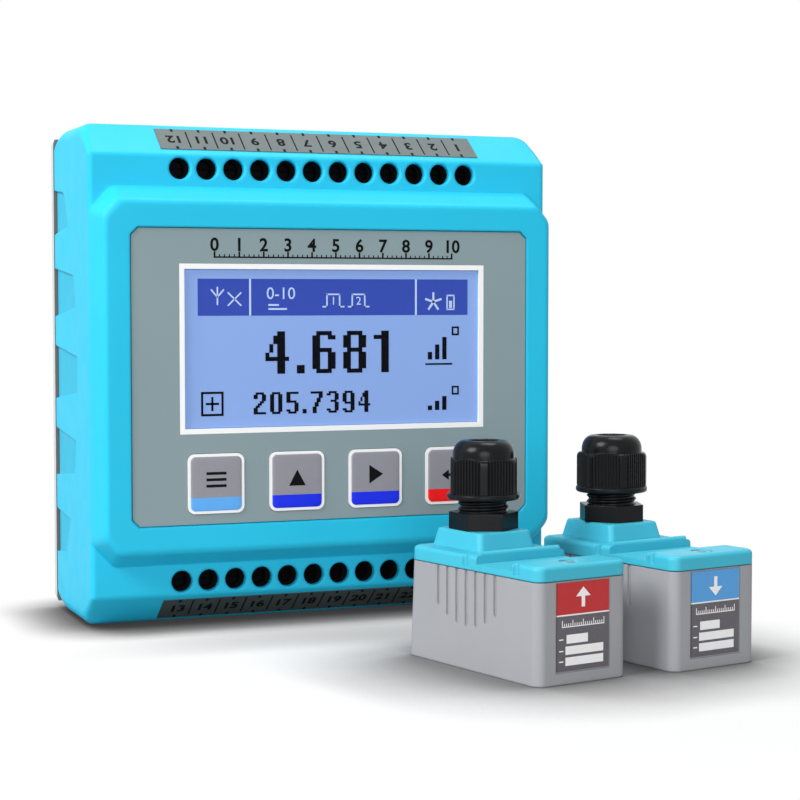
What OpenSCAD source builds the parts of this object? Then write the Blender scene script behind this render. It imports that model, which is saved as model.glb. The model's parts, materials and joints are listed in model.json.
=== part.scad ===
// Ultrasonic flow meter: a rail-mounted housing with a display, keys and two rows of screw terminals,
// and a pair of clamp-on transducers standing in front of it. Millimetres, +Z up, front towards -Y.
// The origin lies in the middle of the flat underside that the housing stands on.

/* [Housing] */
// Width of the housing
case_w = 134.2; // [130:0.1:146]
// Height of the housing
case_h = 137.5; // [134:0.1:150]
// Depth from the keypad face to the back of the base plate
case_d = 56.4; // [54:0.1:64]
// Wall thickness of the front cover
case_wall = 2.2; // [1.8:0.1:2.5]
// Radius of the housing's four corners, seen from the front
case_r = 4; // [3:0.5:6]
// Thickness of the base plate
base_t = 3; // [2.6:0.1:4]
// How far the keypad block stands in front of the terminal faces
block_rise = 8.2; // [7.5:0.1:9]
// Depth of each sloping label face
slope_run = 11.6; // [10.5:0.1:12.5]
// Height of each sloping label face
slope_drop = 8.8; // [8.2:0.1:9.4]
// Height of each flat terminal face
term_face_h = 8.5; // [8:0.1:9]
// Lean of the keypad block's upper and lower sides
block_lean_z = 4.3; // [3:0.1:5]
// Lean of the keypad block's left and right sides
block_lean_x = 2.2; // [1:0.1:3]

/* [Keypad panel] */
// Margin between the keypad block's left and right edges and the panel film
panel_side = 7.4; // [6:0.1:9]
// Margin between the keypad block's upper and lower edges and the panel film
panel_end = 7.35; // [6:0.05:9]
// Thickness of the panel film
film_t = 0.8; // [0.5:0.1:1]
// How deep the film's face lies below the block's face
panel_sink = 0.4; // [0.3:0.1:0.8]
// Distance from the panel film's sides to the display
display_side = 14.5; // [13:0.5:18]
// Distance from the panel film's upper edge to the display
display_top = 10.8; // [9:0.1:13]
// Distance from the display down to the keys
display_low = 6.8; // [4:0.1:9]
// Width of the white display border
border_w = 1.4; // [1:0.1:2]
// Width of a key
key_w = 15.8; // [14:0.1:16.5]
// Height of a key
key_h = 16.2; // [14:0.1:17]
// How much wider than the display the row of keys is, a quarter of the row to each key
key_past = 6; // [2:0.5:10]
// Distance from the keys down to the panel film's lower edge
key_low = 2.8; // [2:0.1:4]
// How far a key travels
key_travel = 0.4; // [0.3:0.05:0.5]

/* [Terminals] */
// Terminals in each row
ways = 12; // [8:1:12]
// Distance between neighbouring terminals
way_pitch = 7.62; // [7.5:0.01:7.7]
// Diameter of the screwdriver holes
hole_d = 5.9; // [5:0.1:6.4]
// Distance from the holes' centres to the terminal face's outer edge
hole_inset = 3.7; // [3.4:0.1:4]
// Width of a label strip
strip_w = 93.4; // [90:0.1:110]
// Height of a label strip along its slope
strip_h = 9.8; // [8:0.1:11]
// Height of the wire slots in the housing's top and bottom
wire_slot_d = 6; // [5:0.5:7]

/* [Side pockets] */
// Distance between neighbouring pockets
pocket_pitch = 22.8; // [22:0.1:24]
// Depth of the pockets
pocket_d = 0.7; // [0.4:0.1:1]
// Width of the vent slot at each pocket's back edge
vent_w = 1.5; // [1:0.1:2]

/* [Rail mount] */
// Height of the top-hat rail that the housing clips to
rail_h = 35; // [34:0.5:36]
// Slot that holds the rail's flange
flange_slot = 1.5; // [1.2:0.1:2]
// Overhang of the hook and of the clip behind the flange
hook_lip = 2; // [1.5:0.1:2.5]
// Width of the sliding rail clip
clip_w = 24; // [20:1:30]
// Thickness of the rail clip
clip_t = 4; // [3.6:0.1:4.4]
// How far the clip is pulled down to free the rail
clip_travel = 4; // [3:0.5:5]

/* [Boards] */
// Depth of the display module behind the front wall
lcd_depth = 6.3; // [5.5:0.1:7]
// Thickness of both circuit boards
board_t = 1.6; // [1.2:0.1:2]
// Distance from the housing's side walls to the main board
main_side = 8.9; // [8:0.1:10]
// Distance from the housing's top and bottom walls to the main board
main_end = 2.05; // [1.5:0.05:3]
// Place of the main board's back between the keypad face and the housing's back, as a share
main_back_share = 0.6135; // [0.6:0.0005:0.63]
// Room between the front wall and the terminal blocks
term_room = 2; // [1.5:0.1:3]

/* [Transducers] */
// Width of a transducer
tr_w = 27.1; // [24:0.1:28]
// Length of a transducer, without the lean of its far end
tr_l = 52; // [50:0.5:58]
// Height of a transducer's body
tr_h = 24.3; // [23:0.1:28]
// Lean of the body's far end, from top to bottom
tr_flare = 1.5; // [0:0.1:2]
// Wall thickness of a transducer's body
tr_wall = 2.2; // [2:0.1:2.6]
// Radius of a transducer's upright edges
tr_r = 2.6; // [2:0.1:4]
// Height of the cover's edge
lid_h = 3.6; // [3.2:0.1:4.4]
// Height of the gland's pedestal on the cover
ped_h = 4.4; // [3:0.1:6]
// Width of the band channel across the cover
channel_w = 14; // [12:0.1:15]
// Depth of the band channel
channel_d = 1.9; // [1:0.1:2.4]
// Distance from the cover's near edge to the band channel
channel_near = 10; // [9:0.1:11]
// Turn of both transducers about the upright axis
tr_turn = 12.5; // [0:0.5:30]
// Upstream transducer's centre, to the right of the housing's middle
up_x = 19.3; // [10:0.1:30]
// Upstream transducer's centre, in front of the keypad face
up_front = 76.2; // [50:0.1:90]
// Downstream transducer's centre, to the right of the housing's middle
dn_x = 57.8; // [56:0.1:90]
// Downstream transducer's centre, in front of the keypad face
dn_front = 71.1; // [60:0.1:80]

/* [Cable gland] */
// Thread diameter of the gland
gland_d = 12; // [11.5:0.1:12.5]
// Cable opening in the dome nut
gland_mouth_d = 7.6; // [6.5:0.1:8]
// Bore of the rubber seal
seal_bore_d = 6; // [4:0.1:6.4]
// Size across flats of the gland's lower hexagon
gland_hex = 15.1; // [14.8:0.1:15.6]
// Size across flats of the dome nut
nut_hex = 16.5; // [16.2:0.1:17]

/* [Hidden] */
$fn = 48;
over = 0.3;  // how far a cut runs past the face that it cuts
skin = 0.01;  // thickness of the plates that a hull is stretched between

// Housing, drawn from its keypad face (Y = 0) and its centre height (Z = 0)
half_w = case_w / 2;
half_h = case_h / 2;
ridge_y = block_rise + slope_run;
face_z = half_h - slope_drop;
block_z = face_z - term_face_h;
slope_len = sqrt(pow(slope_run, 2) + pow(slope_drop, 2));
slope_angle = atan2(slope_drop, slope_run);
base_y = case_d - base_t;
seam = 0.3;  // shadow gap between the front cover and the base plate
cover_back = base_y - seam;
crown_run = 12;  // depth over which the back edges round off
crown_r = 20;
crown_y = case_d - crown_run;
crown_angle = asin(crown_run / crown_r);
crown_steps = 8;
rest_y = (ridge_y + crown_y) / 2;  // middle of the flat underside

// Keypad block: corner cuts at its foot and at its face
foot_cut = [6, 6.6];
face_cut = [3.7, 4.3];
block_wall = 3.6;
block_half = [half_w - block_lean_x, block_z - block_lean_z];
face_t = 2;  // wall behind the panel film
panel_floor = panel_sink + film_t;
cover_in = panel_floor + face_t;
panel_w = 2 * (block_half.x - panel_side);
panel_h = 2 * (block_half.y - panel_end);
display_w = panel_w - 2 * display_side;
display_h = panel_h - display_top - display_low - key_h - key_low;
display_up = panel_h / 2 - display_top - display_h / 2;
key_drop = panel_h / 2 - key_low - key_h / 2;
panel_gap = 0.3;
panel_cut = 2;

// Display module and its board
lcd_gap = 0.15;
lcd_t = 2;
lcd_margin = 3.5;
glass_front = panel_floor + lcd_gap;
glass_back = glass_front + lcd_t;
board_front = cover_in + lcd_depth;
board_back = board_front + board_t;
board_room = [7.3, 3.55];  // between the display board and the keypad block's inner walls
board_w = 2 * (block_half.x - block_wall - board_room.x);
board_h = 2 * (block_half.y - block_wall - board_room.y);
board_hole_in = [3.5, 4];
board_boss = [board_w / 2 - board_hole_in.x, board_h / 2 - board_hole_in.y];
boss_d = 5.5;

// Keys
key_r = 2;
key_proud = 0.3;
key_gap = 0.15;
lcd_side_gap = 0.2;
key_floor_gap = 0.15;
key_front = panel_sink - key_proud;
key_stem_d = 5;
key_stem_gap = 0.1;
key_barb_d = 6.4;
key_barb_t = 0.8;
key_barb_gap = 0.1;
switch_w = 6;
switch_t = 3.6;
switch_tip_d = 3.4;
switch_tip_t = 0.7;
switch_gap = 0.05;
switch_tip_y = board_front - switch_t - switch_tip_t;
key_stem_end = switch_tip_y - key_travel - switch_gap;
key_sides = [-1.5, -0.5, 0.5, 1.5];
key_pitch = (display_w + key_past) / len(key_sides);
key_xs = [for (k = key_sides) k * key_pitch];

// Terminals and main board
row_z = face_z - hole_inset;
row_len = ways * way_pitch;
main_back_y = case_d * main_back_share;
main_front_y = main_back_y - board_t;
term_front_y = block_rise + case_wall + term_room;
term_depth = main_front_y - term_front_y;
term_in = 6.2;
term_out = 6.8;
term_cut = [5.2, 3.4];
term_end = 0.6;
screw_bore_d = 4.6;
wire_d = 3.6;
wire_back_share = 0.398;  // wire holes' axes in front of the main board, as a share of the depth
wire_y = main_front_y - term_depth * wire_back_share;
clamp_share = 0.4175;
clamp = [5.4, term_depth * clamp_share, 6.4];
clamp_gap = 0.2;
clamp_front_share = 0.605;
clamp_front = clamp.y * clamp_front_share;
term_head_d = 4.3;
term_head_t = 2.2;
term_shank_d = 2.9;
term_head_sink = 1.5;
term_head_y = term_front_y + term_head_sink;
slot_w = 0.8;
slot_d = 1;
hole_bevel = 0.35;
strip_t = 0.25;
main_w = case_w - 2 * case_wall - 2 * main_side;
main_h = case_h - 2 * case_wall - 2 * main_end;
post_d = 7;
post_in = [7, 26];
main_post = [main_w / 2 - post_in.x, main_h / 2 - post_in.y];
case_boss_d = 7;
boss_bite = 0.6;
boss_drop = 6.5;
case_boss = [half_w - case_wall - case_boss_d / 2 + boss_bite, half_h - case_wall - boss_drop];

// Screws: head diameter, head height, shank diameter, length
m3_screw = [5.5, 2, 2.8, 14];
m2_screw = [4.2, 1.5, 2.1, 6];
pilot_gap = 0.1;
head_gap = 0.3;

// Side pockets: half lengths as shares of the pitch, from the middle pocket outwards
pocket_half_shares = [0.333, 0.3, 0.276];
pocket_taper_share = 0.095;
pocket_arc_share = 1.275;  // radius of the arc that the pockets end on, in half heights
pocket_arc_r = half_h * pocket_arc_share;
pocket_near = 4.8;  // distance from the arc's front to the ridge
pocket_back = cover_back;
side_step = 0.15;  // the sides behind the pockets' front stand back by this
side_step_y = 22.6;

// Rail hooks and clip, behind the base plate
rail_gap = 0.3;
rail_edge = rail_h / 2 + rail_gap;
hook_w = 16;
hook_x = 30;
hook_d = 6.5;
hook_t = 5;
hook_foot = 3;
clip_gap = 0.2;
clip_y = case_d + clip_gap;
clip_low = 8.95;  // from the clip's lower end to the underside
clip_len = half_h - rail_edge - clip_low;
guide_t = 3;
guide_lip = 1.6;
guide_lip_t = 1.6;
guide_drop = 6;
guide_len = 26;
spring_wire = 0.6;
spring_r = 1.4;
spring_turns = 8;
spring_steps = 8;
spring_sides = 6;
window_w = 5.2;
window_drop = 5;
window_len = 17;
stop_t = 3;
spring_len = window_len - stop_t - clip_gap;
pull_slot = [7, 2.5];
pull_slot_up = 5;

// Parts on the main board: sizes as width, depth and height
relay_size = [19.5, 15, 15.5];
relay_in = [13, 12.5];  // places from the nearest post of the main board
converter_in = [14, 14];
trafo_in = [[18.5, 7.5], [7, 7.5]];
relay_at = [main_post.x - relay_in.x, main_post.y - relay_in.y];
converter_size = [24, 10.5, 18];
converter_at = [converter_in.x - main_post.x, main_post.y - converter_in.y];
cap_d = 10;
cap_l = 13;
cap_pitch = 11.5;
cap_at = [-4.5, 26];
chip_t = 1.6;
chip_sizes = [[14, 14], [10, 7.5], [10, 7.5]];
chip_places = [[8, -2], [-16, -4], [30, -6]];
trafo_size = [9.5, 9, 9.5];
trafo_places = [for (p = trafo_in) [main_post.x - p.x, p.y - main_post.y]];
socket_size = [28, 6, 8];
socket_z = -18;
ribbon_w = 24;
ribbon_t = 0.9;
ribbon_leg = 4.5;

// Transducer details, from the middle of the footprint
near_y = -tr_l / 2;
tr_floor = 2.4;
tr_seam = 0.2;
lid_z = tr_h + tr_seam;
lid_top = lid_z + lid_h;
lid_bevel = 1;
lid_side_h = 2.5;
channel_y = near_y + channel_near;
bead_w = 1.8;
bead_h = 0.9;
bead_y = channel_y + channel_w;
bead_end = 1.4;
bead_len = tr_w - 2 * bead_end;
notch_r = 1;
notch_up = 0.9;
notch_out = [1.7, 4.6];  // from the channel's near and far edge
ped_base = [17.4, 20.6];
ped_top = [15.8, 18.2];
ped_r = 1.4;
gland_inset = 12.6;
gland_y = tr_l / 2 - gland_inset;
gland_z = lid_top + ped_h;
lid_hole_gap = 0.05;
lid_screw = [5.2, 1.2, 2.8, 11];
lid_screw_in = 5;
lid_pillar_d = 6.4;
gasket_w = 1;
gasket_groove = 0.8;
gasket_edge = 0.6;
groove_n = 7;
groove_pitch = 3.88;
groove_w = 1.15;
groove_d = 0.5;
groove_mid = 2.1;  // the row's middle, from the body's middle towards the far end
groove_shares = [0.71, 0.87, 0.97, 1, 0.97, 0.87, 0.71];
groove_len = 13.3;
label_w = 15.6;
label_low = 3.2;
label_t = 0.3;
label_sink = 0.35;
label_gap = 0.4;
wedge_w = 18;
wedge_near = 5;
wedge_len = 36;
wedge_foot = 4;
wedge_top = 14;
wedge_back = 13;
wedge_slope = 11;
wedge_gap = 0.1;
crystal_size = [12, 10, 1.2];
potting_z = wedge_top + 1.6;
potting_t = 4;
potting_gap = 0.1;

// Gland
gland_hex_h = 4.25;
gland_thread_l = lid_h + ped_h + 1.6;
neck_d = gland_d + 0.8;
neck_h = 9.85;
neck_bore_d = 7.6;
neck_step = 0.5;
nut_gap = 3.15;
nut_z = gland_z + gland_hex_h + nut_gap;
flange_d = 18.4;
flange_h = 1.6;
flange_edge = 0.5;
nut_h = 8.7;
nut_round_d = 18;
nut_bevel_d = 16;
nut_bevel_h = 1.2;
dome_d = 15.5;
dome_h = 4.4;
dome_side = 0.8;
dome_flat_d = 9.6;
dome_steps = 8;
rib_n = 9;
rib_w = 0.45;
rib_d = 0.35;
rib_pitch = 0.84;
nut_bore_gap = 0.05;
seal_gap = 0.1;
seal_seat_gap = 0.05;
chamber_d = 11.4;
chamber_h = 2.4;
up_hex_turn = -3;  // how far each gland and nut happens to be screwed on
up_nut_turn = 24;
dn_hex_turn = 29.5;
dn_nut_turn = 40;
seal_z = gland_z + gland_hex_h + neck_h + seal_seat_gap;
seal_h = nut_z + flange_h + nut_h + chamber_h - seal_z - seal_gap;

// Colours
cyan = [0.18, 0.75, 0.88];
panel_grey = [0.54, 0.61, 0.62];
base_grey = [0.75, 0.77, 0.77];
shell_grey = [0.65, 0.66, 0.68];
key_grey = [0.60, 0.60, 0.63];
lcd_blue = [0.55, 0.66, 0.88];
black = [0.12, 0.12, 0.13];
steel = [0.75, 0.76, 0.78];
board_green = [0.10, 0.42, 0.22];
terminal_green = [0.16, 0.55, 0.30];

// Moves from the housing's own frame to the origin under its underside
module in_case() {
    translate([0, -rest_y, half_h]) children();
}

// Extrudes a front-view outline (X, Z) between two depths
module front_slab(y0, y1) {
    translate([0, y1, 0]) rotate([90, 0, 0]) linear_extrude(y1 - y0) children();
}

// Extrudes a side outline (Y, Z) between two widths
module side_bar(x0, x1) {
    translate([x0, 0, 0]) rotate([90, 0, 90]) linear_extrude(x1 - x0) children();
}

// A round rod along +Y
module rod_y(d, y0, y1) {
    translate([0, y0, 0]) rotate([-90, 0, 0]) cylinder(d = d, h = y1 - y0);
}

// A round rod along Z
module rod_z(d, z0, z1) {
    translate([0, 0, z0]) cylinder(d = d, h = z1 - z0);
}

// Rectangle with round corners, about its centre
module round_rect(w, h, r) {
    square([w - 2 * r, h], center = true);
    square([w, h - 2 * r], center = true);
    for (sx = [-1, 1], sy = [-1, 1]) translate([sx * (w / 2 - r), sy * (h / 2 - r)]) circle(r);
}

// Rectangle with cut corners, from its half sizes and the cuts
module cut_rect(hx, hz, cx, cz) {
    polygon([[hx - cx, hz], [hx, hz - cz], [hx, cz - hz], [hx - cx, -hz],
             [cx - hx, -hz], [-hx, cz - hz], [-hx, hz - cz], [cx - hx, hz]]);
}

// Places children at the four corners of a front-view rectangle of half size p
module at_corners(p) {
    for (sx = [-1, 1], sz = [-1, 1]) translate([sx * p.x, 0, sz * p.y]) children();
}

// Places children at every terminal of one row; side is 1 for the top row and -1 for the bottom row
module at_ways(side) {
    for (i = [0 : ways - 1]) translate([(i - (ways - 1) / 2) * way_pitch, 0, side * row_z]) children();
}

// Upper half of the side profile, set in by w
function slope_foot(w) = [block_rise + w * slope_drop / slope_len, face_z - w * slope_run / slope_len];
function face_edge(w) =
    let (p = slope_foot(w)) [block_rise + w, p.y + (block_rise + w - p.x) * slope_drop / slope_run];
function ridge_edge(w) =
    let (p = slope_foot(w)) [p.x + (half_h - w - p.y) * slope_run / slope_drop, half_h - w];
function crown(w) = [
    for (i = [0 : crown_steps]) let (a = crown_angle * i / crown_steps)
        [crown_y + (crown_r - w) * sin(a), half_h - crown_r + (crown_r - w) * cos(a)]
];
function upper_profile(w) =
    let (c = crown(w))
    concat([face_edge(w), ridge_edge(w)], c, [[case_d + over * sign(w), c[crown_steps].y]]);
function lower_profile(w) =
    let (p = upper_profile(w)) [for (i = [len(p) - 1 : -1 : 0]) [p[i].x, -p[i].y]];

// The housing without its keypad block, set in by w
module envelope(w) {
    intersection() {
        side_bar(w - half_w, half_w - w) polygon(concat(upper_profile(w), lower_profile(w)));
        front_slab(0, case_d + over) round_rect(case_w - 2 * w, case_h - 2 * w, case_r - w);
    }
}

// The keypad block, from the terminal faces' level to its face
module keypad_block() {
    hull() {
        front_slab(block_rise, block_rise + skin) cut_rect(half_w, block_z, foot_cut.x, foot_cut.y);
        front_slab(0, skin) cut_rect(block_half.x, block_half.y, face_cut.x, face_cut.y);
    }
}

// One side pocket's outline, in depth and height
module pocket_outline(i) {
    half = pocket_pitch * pocket_half_shares[abs(i)];
    taper = (pocket_back - ridge_y) * pocket_taper_share;
    intersection() {
        translate([0, i * pocket_pitch]) polygon([
            [ridge_y, half - taper], [pocket_back + over, half],
            [pocket_back + over, -half], [ridge_y, taper - half]]);
        translate([ridge_y + pocket_near + pocket_arc_r, 0]) circle(pocket_arc_r, $fn = 180);
    }
}

module side_pockets() {
    for (i = [-2 : 2]) {
        half = pocket_pitch * pocket_half_shares[abs(i)];
        for (side = [0, 1]) mirror([side, 0, 0]) {
            side_bar(half_w - pocket_d, half_w + over) pocket_outline(i);
            translate([half_w - case_wall - over, pocket_back - vent_w, i * pocket_pitch - half])
                cube([case_wall + 2 * over, vent_w + over, 2 * half]);
        }
    }
}

module side_steps() {
    for (side = [0, 1]) mirror([side, 0, 0]) translate([half_w - side_step, side_step_y, -half_h - over])
        cube([side_step + over, case_d, case_h + 2 * over]);
}

module key_openings() {
    for (x = key_xs) translate([x, 0, -key_drop]) {
        front_slab(panel_floor - over, panel_floor + key_travel + key_floor_gap)
            round_rect(key_w + 2 * key_gap, key_h + 2 * key_gap, key_r + key_gap);
        rod_y(key_stem_d + 2 * key_stem_gap, 0, cover_in + over);
    }
}

module screwdriver_holes() {
    for (side = [-1, 1]) at_ways(side) {
        rod_y(hole_d, block_rise - over, block_rise + case_wall + over);
        translate([0, block_rise - skin, 0]) rotate([-90, 0, 0])
            cylinder(d1 = hole_d + 2 * hole_bevel, d2 = hole_d, h = hole_bevel);
    }
}

module wire_slots() {
    for (side = [0, 1]) mirror([0, 0, side])
        translate([-row_len / 2, wire_y - wire_slot_d / 2, half_h - case_wall - over])
            cube([row_len, wire_slot_d, case_wall + 2 * over]);
}

module front_cover() color(cyan) in_case() difference() {
    union() {
        difference() {
            union() {
                intersection() {
                    envelope(0);
                    front_slab(0, cover_back) square([case_w + over, case_h + over], center = true);
                }
                keypad_block();
            }
            envelope(case_wall);
            front_slab(cover_in, block_rise + case_wall + over)
                square([2 * (block_half.x - block_wall), 2 * (block_half.y - block_wall)], center = true);
        }
        at_corners(case_boss) rod_y(case_boss_d, ridge_y, base_y);
        at_corners(board_boss) rod_y(boss_d, cover_in - over, board_front);
    }
    front_slab(-over, panel_floor)
        cut_rect(panel_w / 2 + panel_gap, panel_h / 2 + panel_gap, panel_cut, panel_cut);
    translate([0, 0, display_up]) front_slab(0, cover_in + over)
        square([display_w, display_h], center = true);
    key_openings();
    screwdriver_holes();
    wire_slots();
    side_pockets();
    side_steps();
    at_corners(case_boss) rod_y(m3_screw[2] + 2 * pilot_gap, base_y - m3_screw[3], base_y + over);
    at_corners(board_boss) rod_y(m2_screw[2] + 2 * pilot_gap, board_back - m2_screw[3], board_front + over);
}

// A screw along Y: head from y towards dir, shank the other way, with a cross recess in the head
module screw(s, y, dir) {
    translate([0, y, 0]) rotate([dir > 0 ? 0 : 180, 0, 0]) difference() {
        union() {
            rod_y(s[0], 0, s[1]);
            rod_y(s[2], -s[3] + s[1], 0);
        }
        for (a = [0, 90]) rotate([0, a, 0])
            translate([-s[0] * cross_share / 2, s[1] / 2, -s[1] / 4])
                cube([s[0] * cross_share, s[1], s[1] / 2]);
    }
}
cross_share = 0.62;

module cover_screws() color(steel) in_case()
    at_corners(case_boss) screw(m3_screw, case_d - m3_screw[1] - head_gap / 2, 1);

module rail_hook() {
    side_bar(-hook_w / 2, hook_w / 2) polygon([
        [case_d - over, rail_edge], [case_d + flange_slot, rail_edge],
        [case_d + flange_slot, rail_edge - hook_lip], [case_d + hook_d - flange_slot, rail_edge - hook_lip],
        [case_d + hook_d, rail_edge], [case_d + hook_d, rail_edge + hook_t - hook_lip],
        [case_d + hook_d - hook_lip, rail_edge + hook_t], [case_d, rail_edge + hook_t + hook_foot],
        [case_d - over, rail_edge + hook_t + hook_foot]]);
}

module clip_guides() {
    for (side = [0, 1]) mirror([side, 0, 0])
        translate([0, 0, -rail_edge - guide_drop - guide_len]) {
            translate([clip_w / 2 + clip_gap, case_d - over, 0])
                cube([guide_t, clip_t + 2 * clip_gap + guide_lip_t + over, guide_len]);
            translate([clip_w / 2 + clip_gap - guide_lip, clip_y + clip_t + clip_gap, 0])
                cube([guide_lip + guide_t, guide_lip_t, guide_len]);
        }
    translate([-window_w / 2 + clip_gap, case_d - over, -rail_edge - window_drop - window_len + clip_gap])
        cube([window_w - 2 * clip_gap, clip_t + clip_gap + over, stop_t]);
}

module rear_base() color(base_grey) in_case() difference() {
    union() {
        intersection() {
            envelope(0);
            front_slab(base_y, case_d) square([case_w + over, case_h + over], center = true);
        }
        at_corners(main_post) rod_y(post_d, main_back_y, base_y + over);
        for (x = [-hook_x, hook_x]) translate([x, 0, 0]) rail_hook();
        clip_guides();
    }
    at_corners(case_boss) {
        rod_y(m3_screw[2] + 2 * pilot_gap, base_y - over, case_d + over);
        rod_y(m3_screw[0] + head_gap, case_d - m3_screw[1] - head_gap / 2, case_d + over);
    }
    at_corners(main_post)
        rod_y(m2_screw[2] + 2 * pilot_gap, main_back_y - over, main_front_y + m2_screw[3]);
}

module rail_clip() color(black) in_case() difference() {
    side_bar(-clip_w / 2, clip_w / 2) polygon([
        [clip_y, -rail_edge], [case_d + flange_slot, -rail_edge],
        [case_d + flange_slot, hook_lip - rail_edge],
        [clip_y + clip_t, -rail_edge], [clip_y + clip_t, -rail_edge - clip_len],
        [clip_y, -rail_edge - clip_len]]);
    translate([-window_w / 2, case_d, -rail_edge - window_drop - window_len])
        cube([window_w, clip_t + 2 * over, window_len]);
    translate([-pull_slot.x / 2, case_d, pull_slot_up - rail_edge - clip_len])
        cube([pull_slot.x, clip_t + 2 * over, pull_slot.y]);
}

// Path of the clip's coil spring, from its lower seat: straight ends, square to the seats
spring_path = concat(
    [[spring_r, 0, 0]],
    [for (i = [0 : spring_turns * spring_steps]) let (a = 360 * i / spring_steps)
        [spring_r * cos(a), spring_r * sin(a),
         spring_wire + (spring_len - 2 * spring_wire) * i / (spring_turns * spring_steps)]],
    [[spring_r, 0, spring_len]]);
function unit(v) = v / norm(v);
function tangent(p, i) = unit(p[min(i + 1, len(p) - 1)] - p[max(i - 1, 0)]);
function ring(p, i, r, sides) =
    let (t = tangent(p, i), e = unit([p[i].x, p[i].y, 0]), n = unit(cross(t, e)), m = cross(n, t))
    [for (k = [0 : sides - 1]) p[i] + r * (cos(360 * k / sides) * m + sin(360 * k / sides) * n)];
spring_gaps = [for (i = [1 : (spring_turns - 1) * spring_steps])
    norm(spring_path[i + spring_steps] - spring_path[i]) - spring_wire];
echo(least_spring_gap = min(spring_gaps));

// A tube swept along points, closed by flat ends
module tube(p, r, sides) {
    n = len(p);
    polyhedron(
        points = [for (i = [0 : n - 1]) each ring(p, i, r, sides)],
        faces = concat(
            [for (i = [0 : n - 2], k = [0 : sides - 1])
                let (a = i * sides + k, b = i * sides + (k + 1) % sides)
                each [[a, b, b + sides], [a, b + sides, a + sides]]],
            [[for (k = [sides - 1 : -1 : 0]) k]],
            [[for (k = [0 : sides - 1]) (n - 1) * sides + k]]));
}

module rail_clip_spring() color(steel) in_case()
    translate([0, clip_y + clip_t / 2, -rail_edge - window_drop - window_len + clip_gap + stop_t])
        tube(spring_path, spring_wire / 2, spring_sides);

module panel_film() color(panel_grey) in_case() front_slab(panel_sink, panel_floor) difference() {
    cut_rect(panel_w / 2, panel_h / 2, panel_cut, panel_cut);
    translate([0, display_up]) square([display_w + 2 * border_w, display_h + 2 * border_w], center = true);
    for (x = key_xs) translate([x, -key_drop])
        round_rect(key_w + 2 * key_gap, key_h + 2 * key_gap, key_r + key_gap);
}

module display_border() color("white") in_case() translate([0, 0, display_up])
    front_slab(panel_sink, panel_floor) difference() {
        square([display_w + 2 * border_w, display_h + 2 * border_w], center = true);
        square([display_w, display_h], center = true);
    }

module display_window() color([0.8, 0.88, 0.95, 0.35]) in_case() translate([0, 0, display_up])
    front_slab(panel_sink, panel_floor) square([display_w, display_h], center = true);

// The display's own outline, a little smaller than its opening
module lcd_outline() {
    square([display_w - lcd_side_gap, display_h - lcd_side_gap], center = true);
}

module lcd_glass() color(lcd_blue) in_case() translate([0, 0, display_up])
    front_slab(glass_front, glass_back) lcd_outline();

module lcd_frame() color(steel) in_case() translate([0, 0, display_up])
    front_slab(cover_in, board_front) difference() {
        square([display_w + 2 * lcd_margin, display_h + 2 * lcd_margin], center = true);
        square([display_w, display_h], center = true);
    }

module backlight() color("white") in_case() translate([0, 0, display_up])
    front_slab(glass_back, board_front) lcd_outline();

module display_board() color(board_green) in_case() difference() {
    front_slab(board_front, board_back) square([board_w, board_h], center = true);
    at_corners(board_boss) rod_y(m2_screw[2] + 2 * pilot_gap, board_front - over, board_back + over);
}

module display_screws() color(steel) in_case() at_corners(board_boss) screw(m2_screw, board_back, 1);

module key_switches() color(black) in_case() for (x = key_xs) translate([x, 0, -key_drop]) {
    front_slab(board_front - switch_t, board_front) square(switch_w, center = true);
    rod_y(switch_tip_d, switch_tip_y, board_front - switch_t);
}

// One key: cap in the film's opening, stem through the wall, and the barb that keeps it in
module key(i) color(key_grey) in_case() translate([key_xs[i], 0, -key_drop]) {
    front_slab(key_front, panel_floor) round_rect(key_w, key_h, key_r);
    rod_y(key_stem_d, panel_floor - skin, key_stem_end);
    rod_y(key_barb_d, cover_in + key_barb_gap, cover_in + key_barb_gap + key_barb_t);
}
module key_menu() key(0);
module key_up() key(1);
module key_next() key(2);
module key_enter() key(3);

module main_board() color(board_green) in_case() difference() {
    front_slab(main_front_y, main_back_y) square([main_w, main_h], center = true);
    at_corners(main_post) rod_y(m2_screw[2] + 2 * pilot_gap, main_front_y - over, main_back_y + over);
}

module main_board_screws() color(steel) in_case()
    at_corners(main_post) screw(m2_screw, main_front_y, -1);

// A box standing on the main board's front, placed by its front-view centre
module on_main(p, s) {
    translate([p.x - s.x / 2, main_front_y - s.y, p.y - s.z / 2]) cube(s);
}

module ribbon_sockets() color(black) in_case() {
    on_main([0, socket_z], socket_size);
    translate([-socket_size.x / 2, board_back, socket_z - socket_size.z / 2]) cube(socket_size);
}

// The ribbon leaves both sockets downwards and turns back on itself
module ribbon_cable() color(base_grey) in_case() {
    y0 = board_back + socket_size.y / 2;
    y1 = main_front_y - socket_size.y / 2;
    z0 = socket_z - socket_size.z / 2;
    bend = (y1 - y0) / 2;
    side_bar(-ribbon_w / 2, ribbon_w / 2) translate([y0 + bend, z0 - ribbon_t - ribbon_leg]) {
        intersection() {
            difference() {
                circle(bend + ribbon_t / 2);
                circle(bend - ribbon_t / 2);
            }
            translate([-bend - ribbon_t, -bend - ribbon_t])
                square([2 * bend + 2 * ribbon_t, bend + ribbon_t]);
        }
        for (side = [-1, 1]) translate([side * bend - ribbon_t / 2, -skin])
            square([ribbon_t, ribbon_leg + ribbon_t + skin]);
    }
}

module relay() color([0.15, 0.35, 0.65]) in_case() on_main(relay_at, relay_size);

module power_converter() color(black) in_case() on_main(converter_at, converter_size);

module capacitors() color([0.15, 0.2, 0.45]) in_case() for (i = [0, 1])
    translate([cap_at.x + i * cap_pitch, 0, cap_at.y]) rod_y(cap_d, main_front_y - cap_l, main_front_y);

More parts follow.
